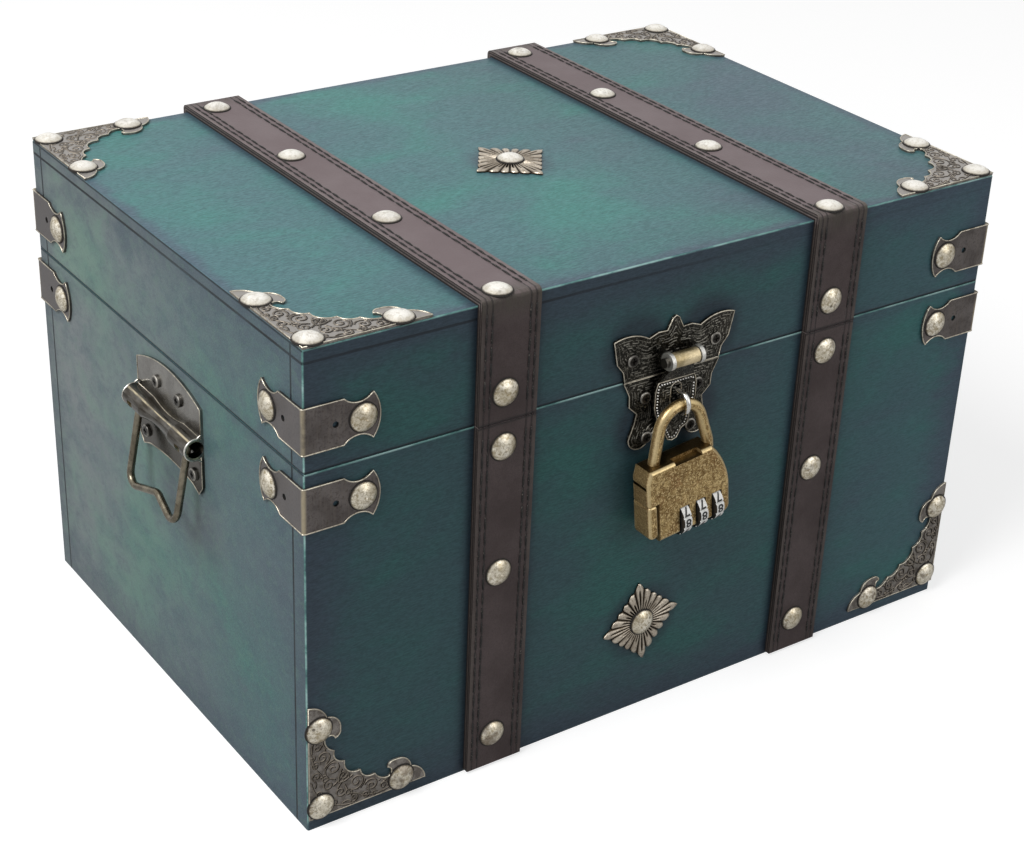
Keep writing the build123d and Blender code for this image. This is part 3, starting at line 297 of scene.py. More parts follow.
def leather():
    """Brown strap leather: fine grain, soft creases, rubbed rims and layered cut edges, with the top face and
    its rims painted paler as painted light.
    """
    g = Graph("leather_strap", Specular_IOR_Level=0.35)
    x, y, z = g.split(g.place)
    top, front, end = facing(g)
    grain = g.cells(1500)
    pores = g.noise(g.place, 2300, 2.0, 0.6)
    cloud = g.noise(g.place, 42, 4.0, 0.6)
    creases = g.noise(g.stretch(g.place, (500, 90, 90), (0, 0, 8)), 1.0, 3.0, 0.6, 0.6)
    g.colour = g.mix(g.ramp(cloud, 0.3, 0.7), (0.043, 0.029, 0.028), (0.071, 0.051, 0.05))
    g.paint(g.ramp(pores, 0.42, 0.72, 0.0, 0.55), (0.024, 0.015, 0.015))
    # Painted light: the top face is painted paler and greyer than the front
    g.paint(g.mul(top, 0.72), (0.208, 0.162, 0.167))
    # Rubbed rims along the strap's sides, their tone painted paler on the top face as painted light
    aside = g.least(*[g.off(x, strap_x) for strap_x in strap_xs])
    rim = g.ramp(aside, strap_half - 0.0019, strap_half - 0.0008)
    rim = g.mul(rim, g.ramp(cloud, 0.35, 0.6, 0.3, 0.85))
    g.paint(g.mul(rim, 0.45), g.mix(top, (0.088, 0.078, 0.064), (0.215, 0.185, 0.17)))
    # Olive wrinkles where the strap folds over the chest's upper edge
    past = g.sub(g.size(y), half_depth)
    fold = g.mul(g.ramp(past, -0.01, 0.002), g.ramp(z, top_z - 0.009, top_z + 0.001))
    fold = g.mul(fold, g.ramp(creases, 0.35, 0.6, 0.45, 1.0))
    g.paint(g.mul(fold, 0.7), (0.06, 0.053, 0.04))
    # The sewing presses two furrows into each side
    furrow = 0.0
    for row_inset in row_insets:
        furrow = g.most(furrow, g.fade(g.off(aside, strap_half - row_inset), 0.0001, 0.0006))
    furrow = g.mul(furrow, g.sub(1.0, end))
    g.paint(g.mul(furrow, g.ramp(pores, 0.35, 0.6, 0.5, 0.9)), (0.01, 0.007, 0.007))
    # The cut between the lid's band and the base's is dark
    cut = g.fade(g.off(z, seam), 0.0004, 0.0015, 0.85)
    g.paint(g.mul(front, cut), (0.008, 0.006, 0.006))
    # The cut sides show the leather's layers
    depth = g.most(past, g.sub(z, top_z))
    layer = g.fade(g.off(depth, 0.00095), 0.00012, 0.00035, 0.9)
    upper = g.fade(g.off(depth, 0.0021), 0.00012, 0.0004, 0.7)
    layer = g.mul(g.most(layer, upper), g.ramp(pores, 0.35, 0.65, 0.5, 1.0))
    pale = g.mix(g.ramp(z, top_z - 0.002, top_z), (0.095, 0.075, 0.066), (0.2, 0.16, 0.148))
    g.paint(end, g.mix(layer, (0.016, 0.012, 0.011), pale))
    height = g.add(g.mul(grain, 0.7), g.mul(creases, 0.8))
    height = g.sub(height, g.mul(furrow, 2.2))
    height = g.add(height, g.mul(fold, g.mul(creases, 3.0)))
    return g.finish(g.ramp(cloud, 0.3, 0.7, 0.62, 0.5), g.bump(height, 0.00016, 0.55))


def metal(name, dark, light, patina, rough, speck, grain=900, bump=0.00008, step=None):
    """An aged metal: clouded between two tones, with patina in spots and a fine uneven surface."""
    g = Graph(name, Metallic=1.0)
    cloud = g.noise(g.place, 110, 4.0, 0.62, 0.3)
    fine = g.noise(g.place, grain, 3.0, 0.65)
    g.colour = g.mix(g.ramp(cloud, 0.32, 0.68), dark, light)
    g.paint(g.ramp(fine, 0.5, 0.66, 0.0, speck), patina)
    if step:
        step(g, fine, cloud)
    return g.finish(g.ramp(cloud, 0.3, 0.7, *rough), g.bump(g.add(fine, g.mul(cloud, 0.5)), bump, 0.6))


def nail_wear(g, fine, cloud):
    """Dark at the rim where the head meets its ground, as dirt and painted contact shade, with a darker
    blotch on some heads; heads that face up are painted near white as a painted highlight, with painted shade
    towards their rims.
    """
    rim = g.attribute("rim")
    ring = g.ramp(g.add(rim, g.mul(g.sub(fine, 0.5), 0.1)), 0.9, 1.0)
    blotch = g.ramp(g.add(cloud, g.mul(g.attribute("tone"), 0.12)), 0.6, 0.74, 0.0, 0.75)
    flecks = g.noise(g.place, 620, 3.0, 0.7, 0.6)
    top = facing(g)[0]
    # Painted highlight: heads that face up are painted near white and less metallic, with painted shade
    # towards their rims
    g.paint(g.mul(top, 0.8), (1.0, 0.98, 0.93))
    shade = g.mul(top, g.ramp(rim, 0.5, 0.98, 0.0, 0.6))
    g.paint(shade, (0.42, 0.37, 0.27))
    spared = g.sub(1.0, g.mul(top, 0.6))
    flecked = g.mul(g.fade(flecks, 0.36, 0.54, 0.74), spared)
    g.paint(flecked, (0.34, 0.27, 0.15))
    g.paint(g.mul(blotch, spared), (0.16, 0.12, 0.08))
    pits = g.fade(g.cells(190), 0.07, 0.16, 0.85)
    pitted = g.mul(g.mul(pits, spared), g.ramp(cloud, 0.42, 0.56))
    g.paint(pitted, (0.08, 0.06, 0.035))
    g.plug(g.shader.inputs["Metallic"], g.sub(1.0, g.mul(top, 0.62)))
    # Dirt and painted contact shade in a dark ring at the rim
    g.paint(g.mul(ring, 0.85), (0.06, 0.045, 0.032))


def screw_wear(g, fine, cloud):
    """A bright ring on the head's shoulder."""
    rim = g.attribute("rim")
    up = g.ramp(rim, 0.66, 0.8)
    down = g.ramp(rim, 0.95, 1.0, 1.0, 0.2)
    pale_edge = g.mul(g.mul(up, down), g.ramp(cloud, 0.38, 0.6, 0.15, 0.85))
    g.paint(pale_edge, (0.42, 0.4, 0.36))


def relief_wear(g, fine, cloud):
    """Bright on the crowns of a relief, dark in its hollows."""
    relief = g.add(g.attribute("relief"), g.mul(g.sub(fine, 0.5), 0.12))
    g.colour = g.mix(g.ramp(relief, 0.4, 0.9), (0.026, 0.019, 0.012), g.colour)


def barrel_wear(g, fine, cloud):
    """The barrel and the bail are darker than the plate, the plate below the barrel is darkened as a painted
    shadow, and a brassy line along the barrel is partly rubbed brass and partly a painted highlight.
    """
    x, _, z = g.split(g.place)
    out = g.sub(g.size(x), half_width)
    streaks = g.noise(g.stretch(g.place, (700, 120, 700)), 1.0, 3.0, 0.6)
    barrel = g.ramp(out, 0.0016, 0.0024)
    # Painted shadow of the barrel on the plate below it
    barrel_shadow = g.fade(z, barrel_z - 0.006, barrel_z - 0.002, 0.85)
    dark = g.most(g.mul(barrel, g.ramp(streaks, 0.36, 0.6, 0.62, 0.95)), barrel_shadow)
    g.paint(dark, (0.055, 0.047, 0.036))
    # A brassy line where the barrel's surface turns 60 degrees up from its side: partly rubbed brass, partly
    # a painted highlight
    across, _, up = g.split(g.normal)
    tilt = g.sub(g.mul(up, 0.5), g.mul(g.size(across), 0.866))
    ridge = g.fade(g.size(tilt), 0.03, 0.13)
    rubbed = g.mul(g.mul(ridge, barrel), g.ramp(streaks, 0.38, 0.58, 0.35, 1.0))
    g.paint(rubbed, (0.6, 0.52, 0.36))


def plate_wear(g, fine, cloud):
    """Faces towards the front or back get a paler tone and dark blotches; faces that look up are painted much
    paler as painted light.
    """
    top, front, _ = facing(g)
    g.paint(g.mul(front, 0.25), (0.36, 0.34, 0.32))
    hollows = g.ramp(g.noise(g.place, 330, 3.0, 0.65), 0.44, 0.6, 0.0, 0.6)
    g.paint(g.mul(front, hollows), (0.085, 0.07, 0.058))
    # Painted light: faces that look up are painted paler
    g.paint(g.mul(top, 0.66), (0.43, 0.41, 0.385))


def groove_wear(g, fine, cloud):
    """Where the grooves face up, on the upper plates, they are painted paler as painted light."""
    g.paint(g.mul(facing(g)[0], 0.5), (0.13, 0.12, 0.11))


def bracket_wear(g, fine, cloud):
    """Fine upright brushing, brass rubbed bare along the bend round the chest's edge, and faces towards the
    ends painted paler as painted light.
    """
    x, y, _ = g.split(g.place)
    # Painted light: faces towards the ends are painted paler
    g.paint(g.mul(facing(g)[2], 0.4), (0.25, 0.24, 0.245))
    brushed = g.noise(g.stretch(g.place, (1500, 1500, 110)), 1.0, 3.0, 0.6)
    g.paint(g.ramp(brushed, 0.4, 0.7, 0.0, 0.22), (0.2, 0.17, 0.14))
    over_x = g.ramp(g.sub(g.size(x), half_width), -0.0008, 0.0006)
    over_y = g.ramp(g.sub(g.size(y), half_depth), -0.0008, 0.0006)
    bend = g.mul(g.mul(over_x, over_y), g.ramp(cloud, 0.3, 0.6, 0.25, 0.9))
    g.paint(bend, (0.5, 0.43, 0.3))


def hasp_wear(g, fine, cloud):
    """A cast ground of fine bright grains; the rolled barrel is brass and the ears are rubbed bright."""
    x, y, z = g.split(g.place)
    grains = g.ramp(g.noise(g.place, 1250, 2.0, 0.75, 0.8), 0.57, 0.66)
    g.paint(g.mul(grains, 0.7), (0.3, 0.285, 0.24))
    squares = [g.calc("POWER", g.sub(value, pin), 2.0) for value, pin in zip((y, z), pin_spot)]
    from_pin = g.calc("SQRT", g.add(*squares))
    aside = g.off(x, hasp_x)
    rolled = g.mul(g.fade(from_pin, 0.0031, 0.0036), g.fade(aside, 0.0059, 0.0061))
    ears = g.mul(g.fade(from_pin, 0.0034, 0.004), g.ramp(aside, 0.006, 0.0062))
    brass = g.mix(g.ramp(cloud, 0.35, 0.65), (0.38, 0.3, 0.16), (0.74, 0.62, 0.4))
    g.paint(rolled, brass)
    g.paint(g.mul(ears, 0.9), (0.7, 0.69, 0.65))


def lock_wear(g, fine, cloud):
    """Cast brass: brown in fine blots with bright grains between them, bright along its rounded edges as a
    painted highlight, and darker on its sides as painted shade.
    """
    top, _, end = facing(g)
    blots = g.noise(g.place, 560, 4.0, 0.7, 0.6)
    grains = g.noise(g.place, 1700, 2.0, 0.7)
    rust = g.noise(g.place, 120, 3.0, 0.6, 0.5)
    g.paint(g.ramp(rust, 0.5, 0.66, 0.0, 0.55), (0.255, 0.125, 0.05))
    g.paint(g.ramp(blots, 0.4, 0.6, 0.0, 0.76), (0.14, 0.076, 0.024))
    g.paint(g.ramp(grains, 0.5, 0.64, 0.0, 0.72), (0.9, 0.7, 0.36))
    # Painted shade: faces towards the ends are darker
    g.paint(g.mul(end, 0.3), (0.17, 0.1, 0.04))
    hollow = g.mul(top, g.fade(g.split(g.place)[2], 0.1235, 0.1245, 0.85))
    g.plug(g.shader.inputs["Metallic"], g.sub(1.0, g.mul(end, 0.7)))
    g.paint(hollow, (0.04, 0.03, 0.016))
    # A painted highlight where a rounded edge turns from the face to the side, painted shade on the side
    turn = g.size(g.split(g.normal)[1])
    edge = g.mul(g.ramp(turn, 0.25, 0.6), g.fade(turn, 0.9, 0.99))
    g.paint(g.mul(edge, 0.75), (0.66, 0.52, 0.28))
    g.paint(g.fade(turn, 0.05, 0.35, 0.5), (0.12, 0.08, 0.032))


wood = stained_wood()
straps = leather()
nail_metal = metal(
    "antique_nail", (0.64, 0.575, 0.44), (0.97, 0.92, 0.8), (0.26, 0.2, 0.12),
    rough=(0.32, 0.46), speck=0.6, grain=1300, bump=0.0001, step=nail_wear,
)
bronze = metal(
    "antique_bronze", (0.175, 0.158, 0.142), (0.285, 0.26, 0.236), (0.07, 0.06, 0.05),
    rough=(0.4, 0.55), speck=0.5, grain=1300, step=plate_wear,
)
bracket_bronze = metal(
    "bracket_bronze", (0.1, 0.088, 0.084), (0.165, 0.148, 0.142), (0.055, 0.045, 0.04),
    rough=(0.34, 0.48), speck=0.5, grain=1100, step=bracket_wear,
)
relief_bronze = metal(
    "relief_bronze", (0.2, 0.175, 0.145), (0.34, 0.3, 0.25), (0.085, 0.07, 0.055),
    rough=(0.36, 0.5), speck=0.5,
)
groove_bronze = metal(
    "groove_bronze", (0.02, 0.016, 0.013), (0.045, 0.037, 0.03), (0.01, 0.008, 0.007),
    rough=(0.55, 0.7), speck=0.5, step=groove_wear,
)
worn_rim = metal(
    "worn_rim", (0.42, 0.38, 0.31), (0.66, 0.61, 0.5), (0.16, 0.13, 0.1),
    rough=(0.28, 0.42), speck=0.6, grain=700,
)
petal_silver = metal(
    "antique_silver", (0.38, 0.325, 0.26), (0.66, 0.59, 0.49), (0.17, 0.13, 0.08),
    rough=(0.28, 0.42), speck=0.6, grain=1400, step=relief_wear,
)
black_bronze = metal(
    "black_bronze", (0.012, 0.012, 0.01), (0.036, 0.034, 0.029), (0.12, 0.11, 0.09),
    rough=(0.32, 0.5), speck=0.3, grain=1250, bump=0.0004, step=hasp_wear,
)
black_screw = metal(
    "black_screw", (0.022, 0.02, 0.018), (0.05, 0.046, 0.04), (0.014, 0.012, 0.01),
    rough=(0.35, 0.5), speck=0.4, step=screw_wear,
)
steel = metal(
    "dark_steel", (0.22, 0.212, 0.196), (0.33, 0.32, 0.296), (0.11, 0.098, 0.082),
    rough=(0.17, 0.27), speck=0.22, grain=600, bump=0.00002, step=barrel_wear,
)
bail_bronze = metal(
    "bail_bronze", (0.13, 0.113, 0.082), (0.26, 0.232, 0.175), (0.045, 0.037, 0.027),
    rough=(0.22, 0.34), speck=0.35, grain=500, bump=0.00003,
)
steel_screw = metal(
    "steel_screw", (0.06, 0.056, 0.052), (0.11, 0.105, 0.098), (0.03, 0.027, 0.024),
    rough=(0.35, 0.5), speck=0.4, step=screw_wear,
)
lip_highlight = metal(
    "lip_highlight", (0.46, 0.44, 0.38), (0.8, 0.78, 0.72), (0.12, 0.1, 0.08),
    rough=(0.18, 0.3), speck=0.55, grain=500,
)
bright_steel = metal(
    "bright_steel", (0.56, 0.55, 0.53), (0.78, 0.77, 0.74), (0.3, 0.29, 0.27),
    rough=(0.18, 0.3), speck=0.3, grain=1500, bump=0.00004,
)
lock_brass = metal(
    "lock_brass", (0.34, 0.225, 0.09), (0.56, 0.405, 0.18), (0.105, 0.06, 0.022),
    rough=(0.3, 0.44), speck=0.4, grain=1600, bump=0.00012, step=lock_wear,
)
dark_pin = metal(
    "dark_pin", (0.06, 0.056, 0.048), (0.12, 0.112, 0.098), (0.02, 0.018, 0.015),
    rough=(0.3, 0.45), speck=0.5,
)
hasp_relief = metal(
    "hasp_relief", (0.06, 0.057, 0.048), (0.25, 0.238, 0.205), (0.012, 0.011, 0.009),
    rough=(0.3, 0.45), speck=0.8, grain=1100,
)


def dial_enamel():
    """White number bands with dark flanks."""
    g = Graph("dial_white", Specular_IOR_Level=0.5)
    scuffs = g.noise(g.place, 1600, 3.0, 0.6)
    along = turned(lock_roll, east, upward)
    flank = g.size(g.node("VectorMath", g.normal, along, operation="DOT_PRODUCT").outputs["Value"])
    g.colour = g.mix(g.ramp(scuffs, 0.45, 0.75), (0.8, 0.8, 0.78), (0.6, 0.59, 0.55))
    g.paint(g.ramp(flank, 0.5, 0.8), (0.022, 0.02, 0.018))
    return g.finish(g.ramp(scuffs, 0.3, 0.7, 0.32, 0.45), g.bump(scuffs, 0.00003, 0.4))


def dull(name, scale, low, high, dark, light, rough, bump=None):
    """A dull stuff in two tones of one noise."""
    g = Graph(name)
    fine = g.noise(g.place, scale, 2.0, 0.6)
    g.colour = g.mix(g.ramp(fine, low, high), dark, light)
    return g.finish(g.ramp(fine, 0.3, 0.7, *rough), bump and g.bump(fine, bump, 0.6))


white_dial = dial_enamel()
thread_dark = dull(
    "strap_thread", 1900, 0.56, 0.7, (0.004, 0.003, 0.003), (0.12, 0.105, 0.09), (0.7, 0.85), 0.0001
)
number_ink = dull("number_ink", 3000, 0.5, 0.8, (0.01, 0.01, 0.01), (0.05, 0.05, 0.045), (0.5, 0.6))
ring_grime_and_shade = dull("grime_and_shade", 1400, 0.4, 0.7, (0.006, 0.005, 0.004), (0.03, 0.024, 0.02), (0.8, 0.95))

# The nodes that are neither wood nor nails
nodes_in = (
    (straps, "base_front_straps base_back_straps lid_straps"),
    (bracket_bronze, "base_corner_brackets lid_corner_brackets"),
    (bronze, "bottom_corner_plates top_corner_plates hinge_base_leaves hinge_lid_leaves"),
    (black_bronze, "hasp_base_plate hasp_lid_plate hasp_tongue"),
    (black_screw, "hasp_base_screws hasp_lid_screws"),
    (bright_steel, "hasp_staple"),
    (dark_pin, "hasp_pin"),
    (steel, "handle_bracket_left handle_bracket_right hinge_pins padlock_dial_axle"),
    (steel_screw, "handle_screws hinge_base_screws hinge_lid_screws"),
    (bail_bronze, "handle_bail_left handle_bail_right"),
    (lock_brass, "padlock_shackle padlock_front_shell padlock_back_shell padlock_slider"),
    (white_dial, "padlock_dial_1 padlock_dial_2 padlock_dial_3"),
    (petal_silver, "front_rosette top_rosette"),
)
material_of = {name: material for material, names in nodes_in for name in names.split()}


def key_of(vertex):
    """A vertex's place in whole micrometres, the same for its copies at sharp edges."""
    return tuple(round(c * 1e6) for c in vertex.co)


def give_values(mesh, **values_of):
    for name, values in values_of.items():
        mesh.attributes.new(name, "FLOAT", "POINT").data.foreach_set("value", values)


def islands(mesh):
    """The vertices of each separate solid of a mesh, whose copies at sharp edges count as one."""
    spot_of, parent = {}, {}

    def root(item):
        while parent[item] != item:
            parent[item] = parent[parent[item]]
            item = parent[item]
        return item

    for vertex in mesh.vertices:
        key = key_of(vertex)
        spot_of[vertex.index] = key
        parent.setdefault(key, key)
    for polygon in mesh.polygons:
        first = root(spot_of[polygon.vertices[0]])
        for index in polygon.vertices[1:]:
            parent[root(spot_of[index])] = first
    groups = {}
    for index, key in spot_of.items():
        groups.setdefault(root(key), []).append(index)
    return list(groups.values())


def mark_heads(node, seed):
    """Gives each head a tone of its own and each vertex its share of the head's radius; returns the rims."""
    mesh = nodes[node].data
    rim = [0.0] * len(mesh.vertices)
    tone = [0.0] * len(mesh.vertices)
    draw = random.Random(seed)
    heads = []
    for group in islands(mesh):
        spots = [mesh.vertices[i].co for i in group]
        low, high = (Vector([pick(s[k] for s in spots) for k in range(3)]) for pick in (min, max))
        middle, size = (low + high) / 2, high - low
        spread = [abs(size[(k + 1) % 3] - size[(k + 2) % 3]) for k in range(3)]
        axis = spread.index(min(spread))
        reach = size[(axis + 1) % 3] / 2
        shade = draw.random()
        for i in group:
            offset = mesh.vertices[i].co - middle
            offset[axis] = 0.0
            rim[i] = offset.length / reach
            tone[i] = shade
        widest = [mesh.vertices[i].co[axis] for i in group if rim[i] > 0.97]
        middle[axis] = min(widest, key=abs)
        heads.append((middle, axis, reach))
    give_values(mesh, rim=rim, tone=tone)
    return heads


nail_heads = {}
for seed, name in enumerate(sorted(nodes)):
    is_nail = name.endswith(("nails", "nail"))
    chosen = material_of.get(name, nail_metal if is_nail else wood)
    data = nodes[name].data
    data.materials.clear()
    data.materials.append(chosen)
    if is_nail:
        nail_heads[name] = mark_heads(name, seed)
    elif name.endswith("screws"):
        mark_heads(name, seed)


# Meshes


def place(name, data):
    """A new object in the scene."""
    item = bpy.data.objects.new(name, data)
    bpy.context.scene.collection.objects.link(item)
    return item


def add_piece(name, data, material, body):
    data.materials.append(material)
    piece = place(name, data)
    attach(piece, body)
    return piece


def add_mesh(name, vertices, faces, material, body, smooth=True):
    mesh = bpy.data.meshes.new(name)
    mesh.from_pydata([tuple(v) for v in vertices], [], faces)
    if smooth:
        mesh.polygons.foreach_set("use_smooth", [True] * len(mesh.polygons))
    mesh.update()
    return add_piece(name, mesh, material, body)


def add_wires(name, lines, radius, material, body, closed=False):
    """Round wires along lines of points, with their radius in millimetres."""
    curve = bpy.data.curves.new(name, "CURVE")
    curve.dimensions = "3D"
    curve.bevel_depth = radius * mm
    curve.bevel_resolution = 1
    curve.use_fill_caps = not closed
    for line in lines:
        spline = curve.splines.new("POLY")
        spline.points.add(len(line) - 1)
        for point, spot in zip(spline.points, line):
            point.co = (*spot, 1.0)
        spline.use_cyclic_u = closed
    return add_piece(name, curve, material, body)


def outlines(node, chosen):
    """The closed border lines of the faces of a plate whose corners are all chosen by a test."""
    mesh = nodes[node].data
    keys = [key_of(vertex) for vertex in mesh.vertices]
    spots = {key: v.co.copy() for key, v in zip(keys, mesh.vertices)}
    edges = set()
    for polygon in mesh.polygons:
        corner_keys = [keys[i] for i in polygon.vertices]
        if all(chosen(spots[key]) for key in corner_keys):
            for a, b in zip(corner_keys, corner_keys[1:] + corner_keys[:1]):
                if a != b:
                    edges.add((a, b))
    border = {a: b for a, b in edges if (b, a) not in edges}
    loops = []
    while border:
        start = next(iter(border))
        loop, here = [], start
        while here in border:
            loop.append(spots[here])
            here = border.pop(here)
        if len(loop) > 2:
            loops.append(loop)
    return loops


def length_of(loop):
    return sum((a - b).length for a, b in zip(loop, loop[1:] + loop[:1]))


def lifted_front(spot):
    return -half_depth - spot.y


def lifted_side(spot):
    return max(abs(spot.x) - half_width, abs(spot.y) - half_depth)


def lifted_end(spot):
    return abs(spot.x) - half_width


def lifted_top(spot):
    return spot.z - top_z


def off_skin(lift, low, high=100):
    """A test for spots that lie this far off the chest's skin, in millimetres."""
    return lambda spot: low * mm < lift(spot) < high * mm


def long_outlines(node, chosen):
    """A plate's outlines, without those of its nail and screw holes."""
    return [loop for loop in outlines(node, chosen) if length_of(loop) > 30 * mm]


def rims(node, body, chosen, radius):
    """Worn bright edges along a plate's outline."""
    add_wires("rim_" + node, long_outlines(node, chosen), radius, worn_rim, body, closed=True)


def moved_in(loop, distance, out, step=0.5 * mm):
    """A closed outline's points moved into its plate, without those that come too near to it again."""
    fine = []
    for start, end in zip(loop, loop[1:] + loop[:1]):
        count = max(1, round((end - start).length / step))
        fine += [start.lerp(end, k / count) for k in range(count)]
    inner = []
    for k, spot in enumerate(fine):
        along = fine[(k + 2) % len(fine)] - fine[k - 2]
        if along.length > 0:
            moved = spot + out.cross(along.normalized()) * distance
            if min((moved - other).length for other in fine) > 0.95 * distance:
                inner.append(moved)
    return inner


def broken(line, draw, run, gap, wander, out):
    """Short pieces of a line, each moved a little in its plane, as cast relief has."""
    pieces, k = [], 0
    while k < len(line):
        part = line[k : k + draw.randint(*run)]
        shift = Vector((draw.uniform(-1, 1), draw.uniform(-1, 1), draw.uniform(-1, 1))) * wander
        shift -= out * shift.dot(out)
        if len(part) > 1:
            pieces.append([spot + shift for spot in part])
        k += len(part) + draw.randint(*gap)
    return pieces


on_top, on_front, on_side = off_skin(lifted_top, 0.6), off_skin(lifted_front, 0.6), off_skin(lifted_side, 0.5)
on_handle, on_hasp = off_skin(lifted_end, 1.1, 1.3), off_skin(lifted_front, 1.1, 1.3)
on_tongue = off_skin(lifted_front, 4.2, 4.4)
rims("top_corner_plates", "lid", on_top, 0.26)
rims("bottom_corner_plates", "base", on_front, 0.28)
rims("base_corner_brackets", "base", on_side, 0.28)
rims("lid_corner_brackets", "lid", on_side, 0.28)
rims("handle_bracket_left", "base", on_handle, 0.22)
rims("handle_bracket_right", "base", on_handle, 0.22)


def make_barrel_lips():
    """Bright lips round the ends of the handles' barrels, from the plate out round the tube and back; their
    brightness is a painted highlight.
    """
    middle, half_length, out, radius = -9.2, 26.3, 3.6, 4.35
    flare = ((-2.3, -5.4), (-1.5, -4.9))
    angles = [math.radians(angle) for angle in range(-100, 101, 10)]
    lip = [*flare, *((radius * math.cos(angle), radius * math.sin(angle)) for angle in angles)]
    lip += [(a, -b) for a, b in reversed(flare)]
    lips = []
    for side in sides:
        for end in sides:
            start = Vector((side * (half_width + out * mm), (middle + end * half_length) * mm, barrel_z))
            lips.append([start + Vector((side * a, 0, b)) * mm for a, b in lip])
    add_wires("barrel_lips", lips, 0.42, lip_highlight, "base")


make_barrel_lips()
for node, body, chosen in (
    ("hasp_lid_plate", "lid", on_hasp),
    ("hasp_base_plate", "base", on_hasp),
    ("hasp_tongue", "hasp", on_tongue),
):
    rims(node, body, chosen, 0.24)
    outer = max(outlines(node, chosen), key=length_of)
    ridges = [moved_in(outer, distance * mm, south) for distance in (2.8, 3.8, 4.8, 5.9, 7.0, 8.2, 9.5)]
    draw = random.Random(len(outer))
    pieces = [piece for line in ridges for piece in broken(line, draw, (2, 8), (1, 3), 0.3 * mm, south)]
    add_wires("relief_" + node, pieces, 0.28, hasp_relief, body)
    if node != "hasp_tongue":
        inner_rim = broken(moved_in(outer, 1.6 * mm, south), draw, (8, 22), (1, 4), 0.08 * mm, south)
        add_wires("inner_rim_" + node, inner_rim, 0.18, hasp_relief, body)


def tube_faces(first, rings, around):
    """The faces between rings of vertices that follow each other."""
    for start in range(first, first + (rings - 1) * around, around):
        for k in range(around):
            a, b = start + k, start + (k + 1) % around
            yield a, b, b + around, a + around


def beads(name, line, pitch, radius, out, material, body):
    """Small domes set along a line of points."""
    vertices, faces = [], []
    travelled, around = 0.0, 6
    dome = ((0.0, 1.0), (0.55, 0.8), (0.9, 0.35))
    across = out.orthogonal().normalized()
    spokes = arms(around, across, out.cross(across))
    for start, end in zip(line, line[1:]):
        travelled += (end - start).length
        if travelled < pitch:
            continue
        travelled = 0.0
        first = len(vertices)
        for height, girth in dome:
            vertices += [end + (arm * girth + out * height) * radius for arm in spokes]
        faces += tube_faces(first, len(dome), around)
        faces.append(tuple(range(first + 2 * around, first + 3 * around)))
    add_mesh(name, vertices, faces, material, body)


tongue_edge = max(outlines("hasp_tongue", on_tongue), key=length_of)
tongue_line = moved_in(tongue_edge, 1.15 * mm, south, 0.25 * mm)
beads("tongue_beads", tongue_line, 1.2 * mm, 0.42 * mm, south, bright_steel, "hasp")


def head_rings(node, body):
    """A dark ring round each nail head: dirt and painted contact shade."""
    steps, gap = 28, 0.1 * mm
    axes = (east, north, upward)
    rings = []
    for middle, axis, reach in nail_heads[node]:
        spokes = arms(steps, axes[(axis + 1) % 3], axes[(axis + 2) % 3])
        rings.append([middle + arm * (reach + gap) for arm in spokes])
    add_wires("dirt_and_shade_" + node, rings, 0.42, ring_grime_and_shade, body, closed=True)


for node in nail_heads:
    head_rings(node, "lid" if node.startswith(("lid", "top")) else "base")


def rosette(name, node, body, centre, across, out):
    """A diamond of pointed petals round its nail, each grooved along its middle and lower towards its tip."""
    petals, columns, rows = 20, 12, 12
    reach, side_reach, inner = 18.5 * mm, 17.4 * mm, 3.6 * mm
    floor, crown = 0.35 * mm, 1.55 * mm
    up = out.cross(across)
    vertices, relief = [], []
    steps = petals * columns
    for row in range(rows + 2):
        for step in range(steps):
            angle = 2 * math.pi * step / steps
            petal = angle / (2 * math.pi) * petals
            aside = 2 * abs(petal - round(petal))
            is_corner = round(petal) % 5 == 0
            diamond = 1 / (abs(math.cos(angle)) + abs(math.sin(angle)))
            tip = (reach if is_corner else side_reach * 1.04) * diamond * (1 - 0.085 * aside**2.0)
            share = min(row / rows, 1.0)
            radius = inner + (tip - inner) * share
            crest = max(0.0, 1 - aside**2.1) ** 0.6
            split = 0.85 if is_corner else 0.62
            groove = 1.1 * math.exp(-((aside / 0.24) ** 2)) * max(0.0, 1 - (share / split) ** 6)
            fall = 1 - 0.45 * share**3
            height = floor + (crown - floor) * max(0.0, crest - groove) * fall
            if row == rows + 1:
                height = 0.0
            arm = across * math.cos(angle) + up * math.sin(angle)
            vertices.append(centre + arm * radius + out * height)
            relief.append(0.0 if row == rows + 1 else (height - floor) / (crown - floor) / fall)
    faces = [(a, d, c, b) for a, b, c, d in tube_faces(0, rows + 2, steps)]
    piece = add_mesh(name, vertices, faces, petal_silver, body)
    give_values(piece.data, relief=relief)
    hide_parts(node)


top_place, front_place = Vector((-4.5, -3.5, 199.2)) * mm, Vector((-7.8, -110.5, 41.2)) * mm
rosette("top_rosette_petals", "top_rosette", "lid", top_place, turned(10, east, north), upward)
rosette("front_rosette_petals", "front_rosette", "base", front_place, turned(6.5, east, upward), south)


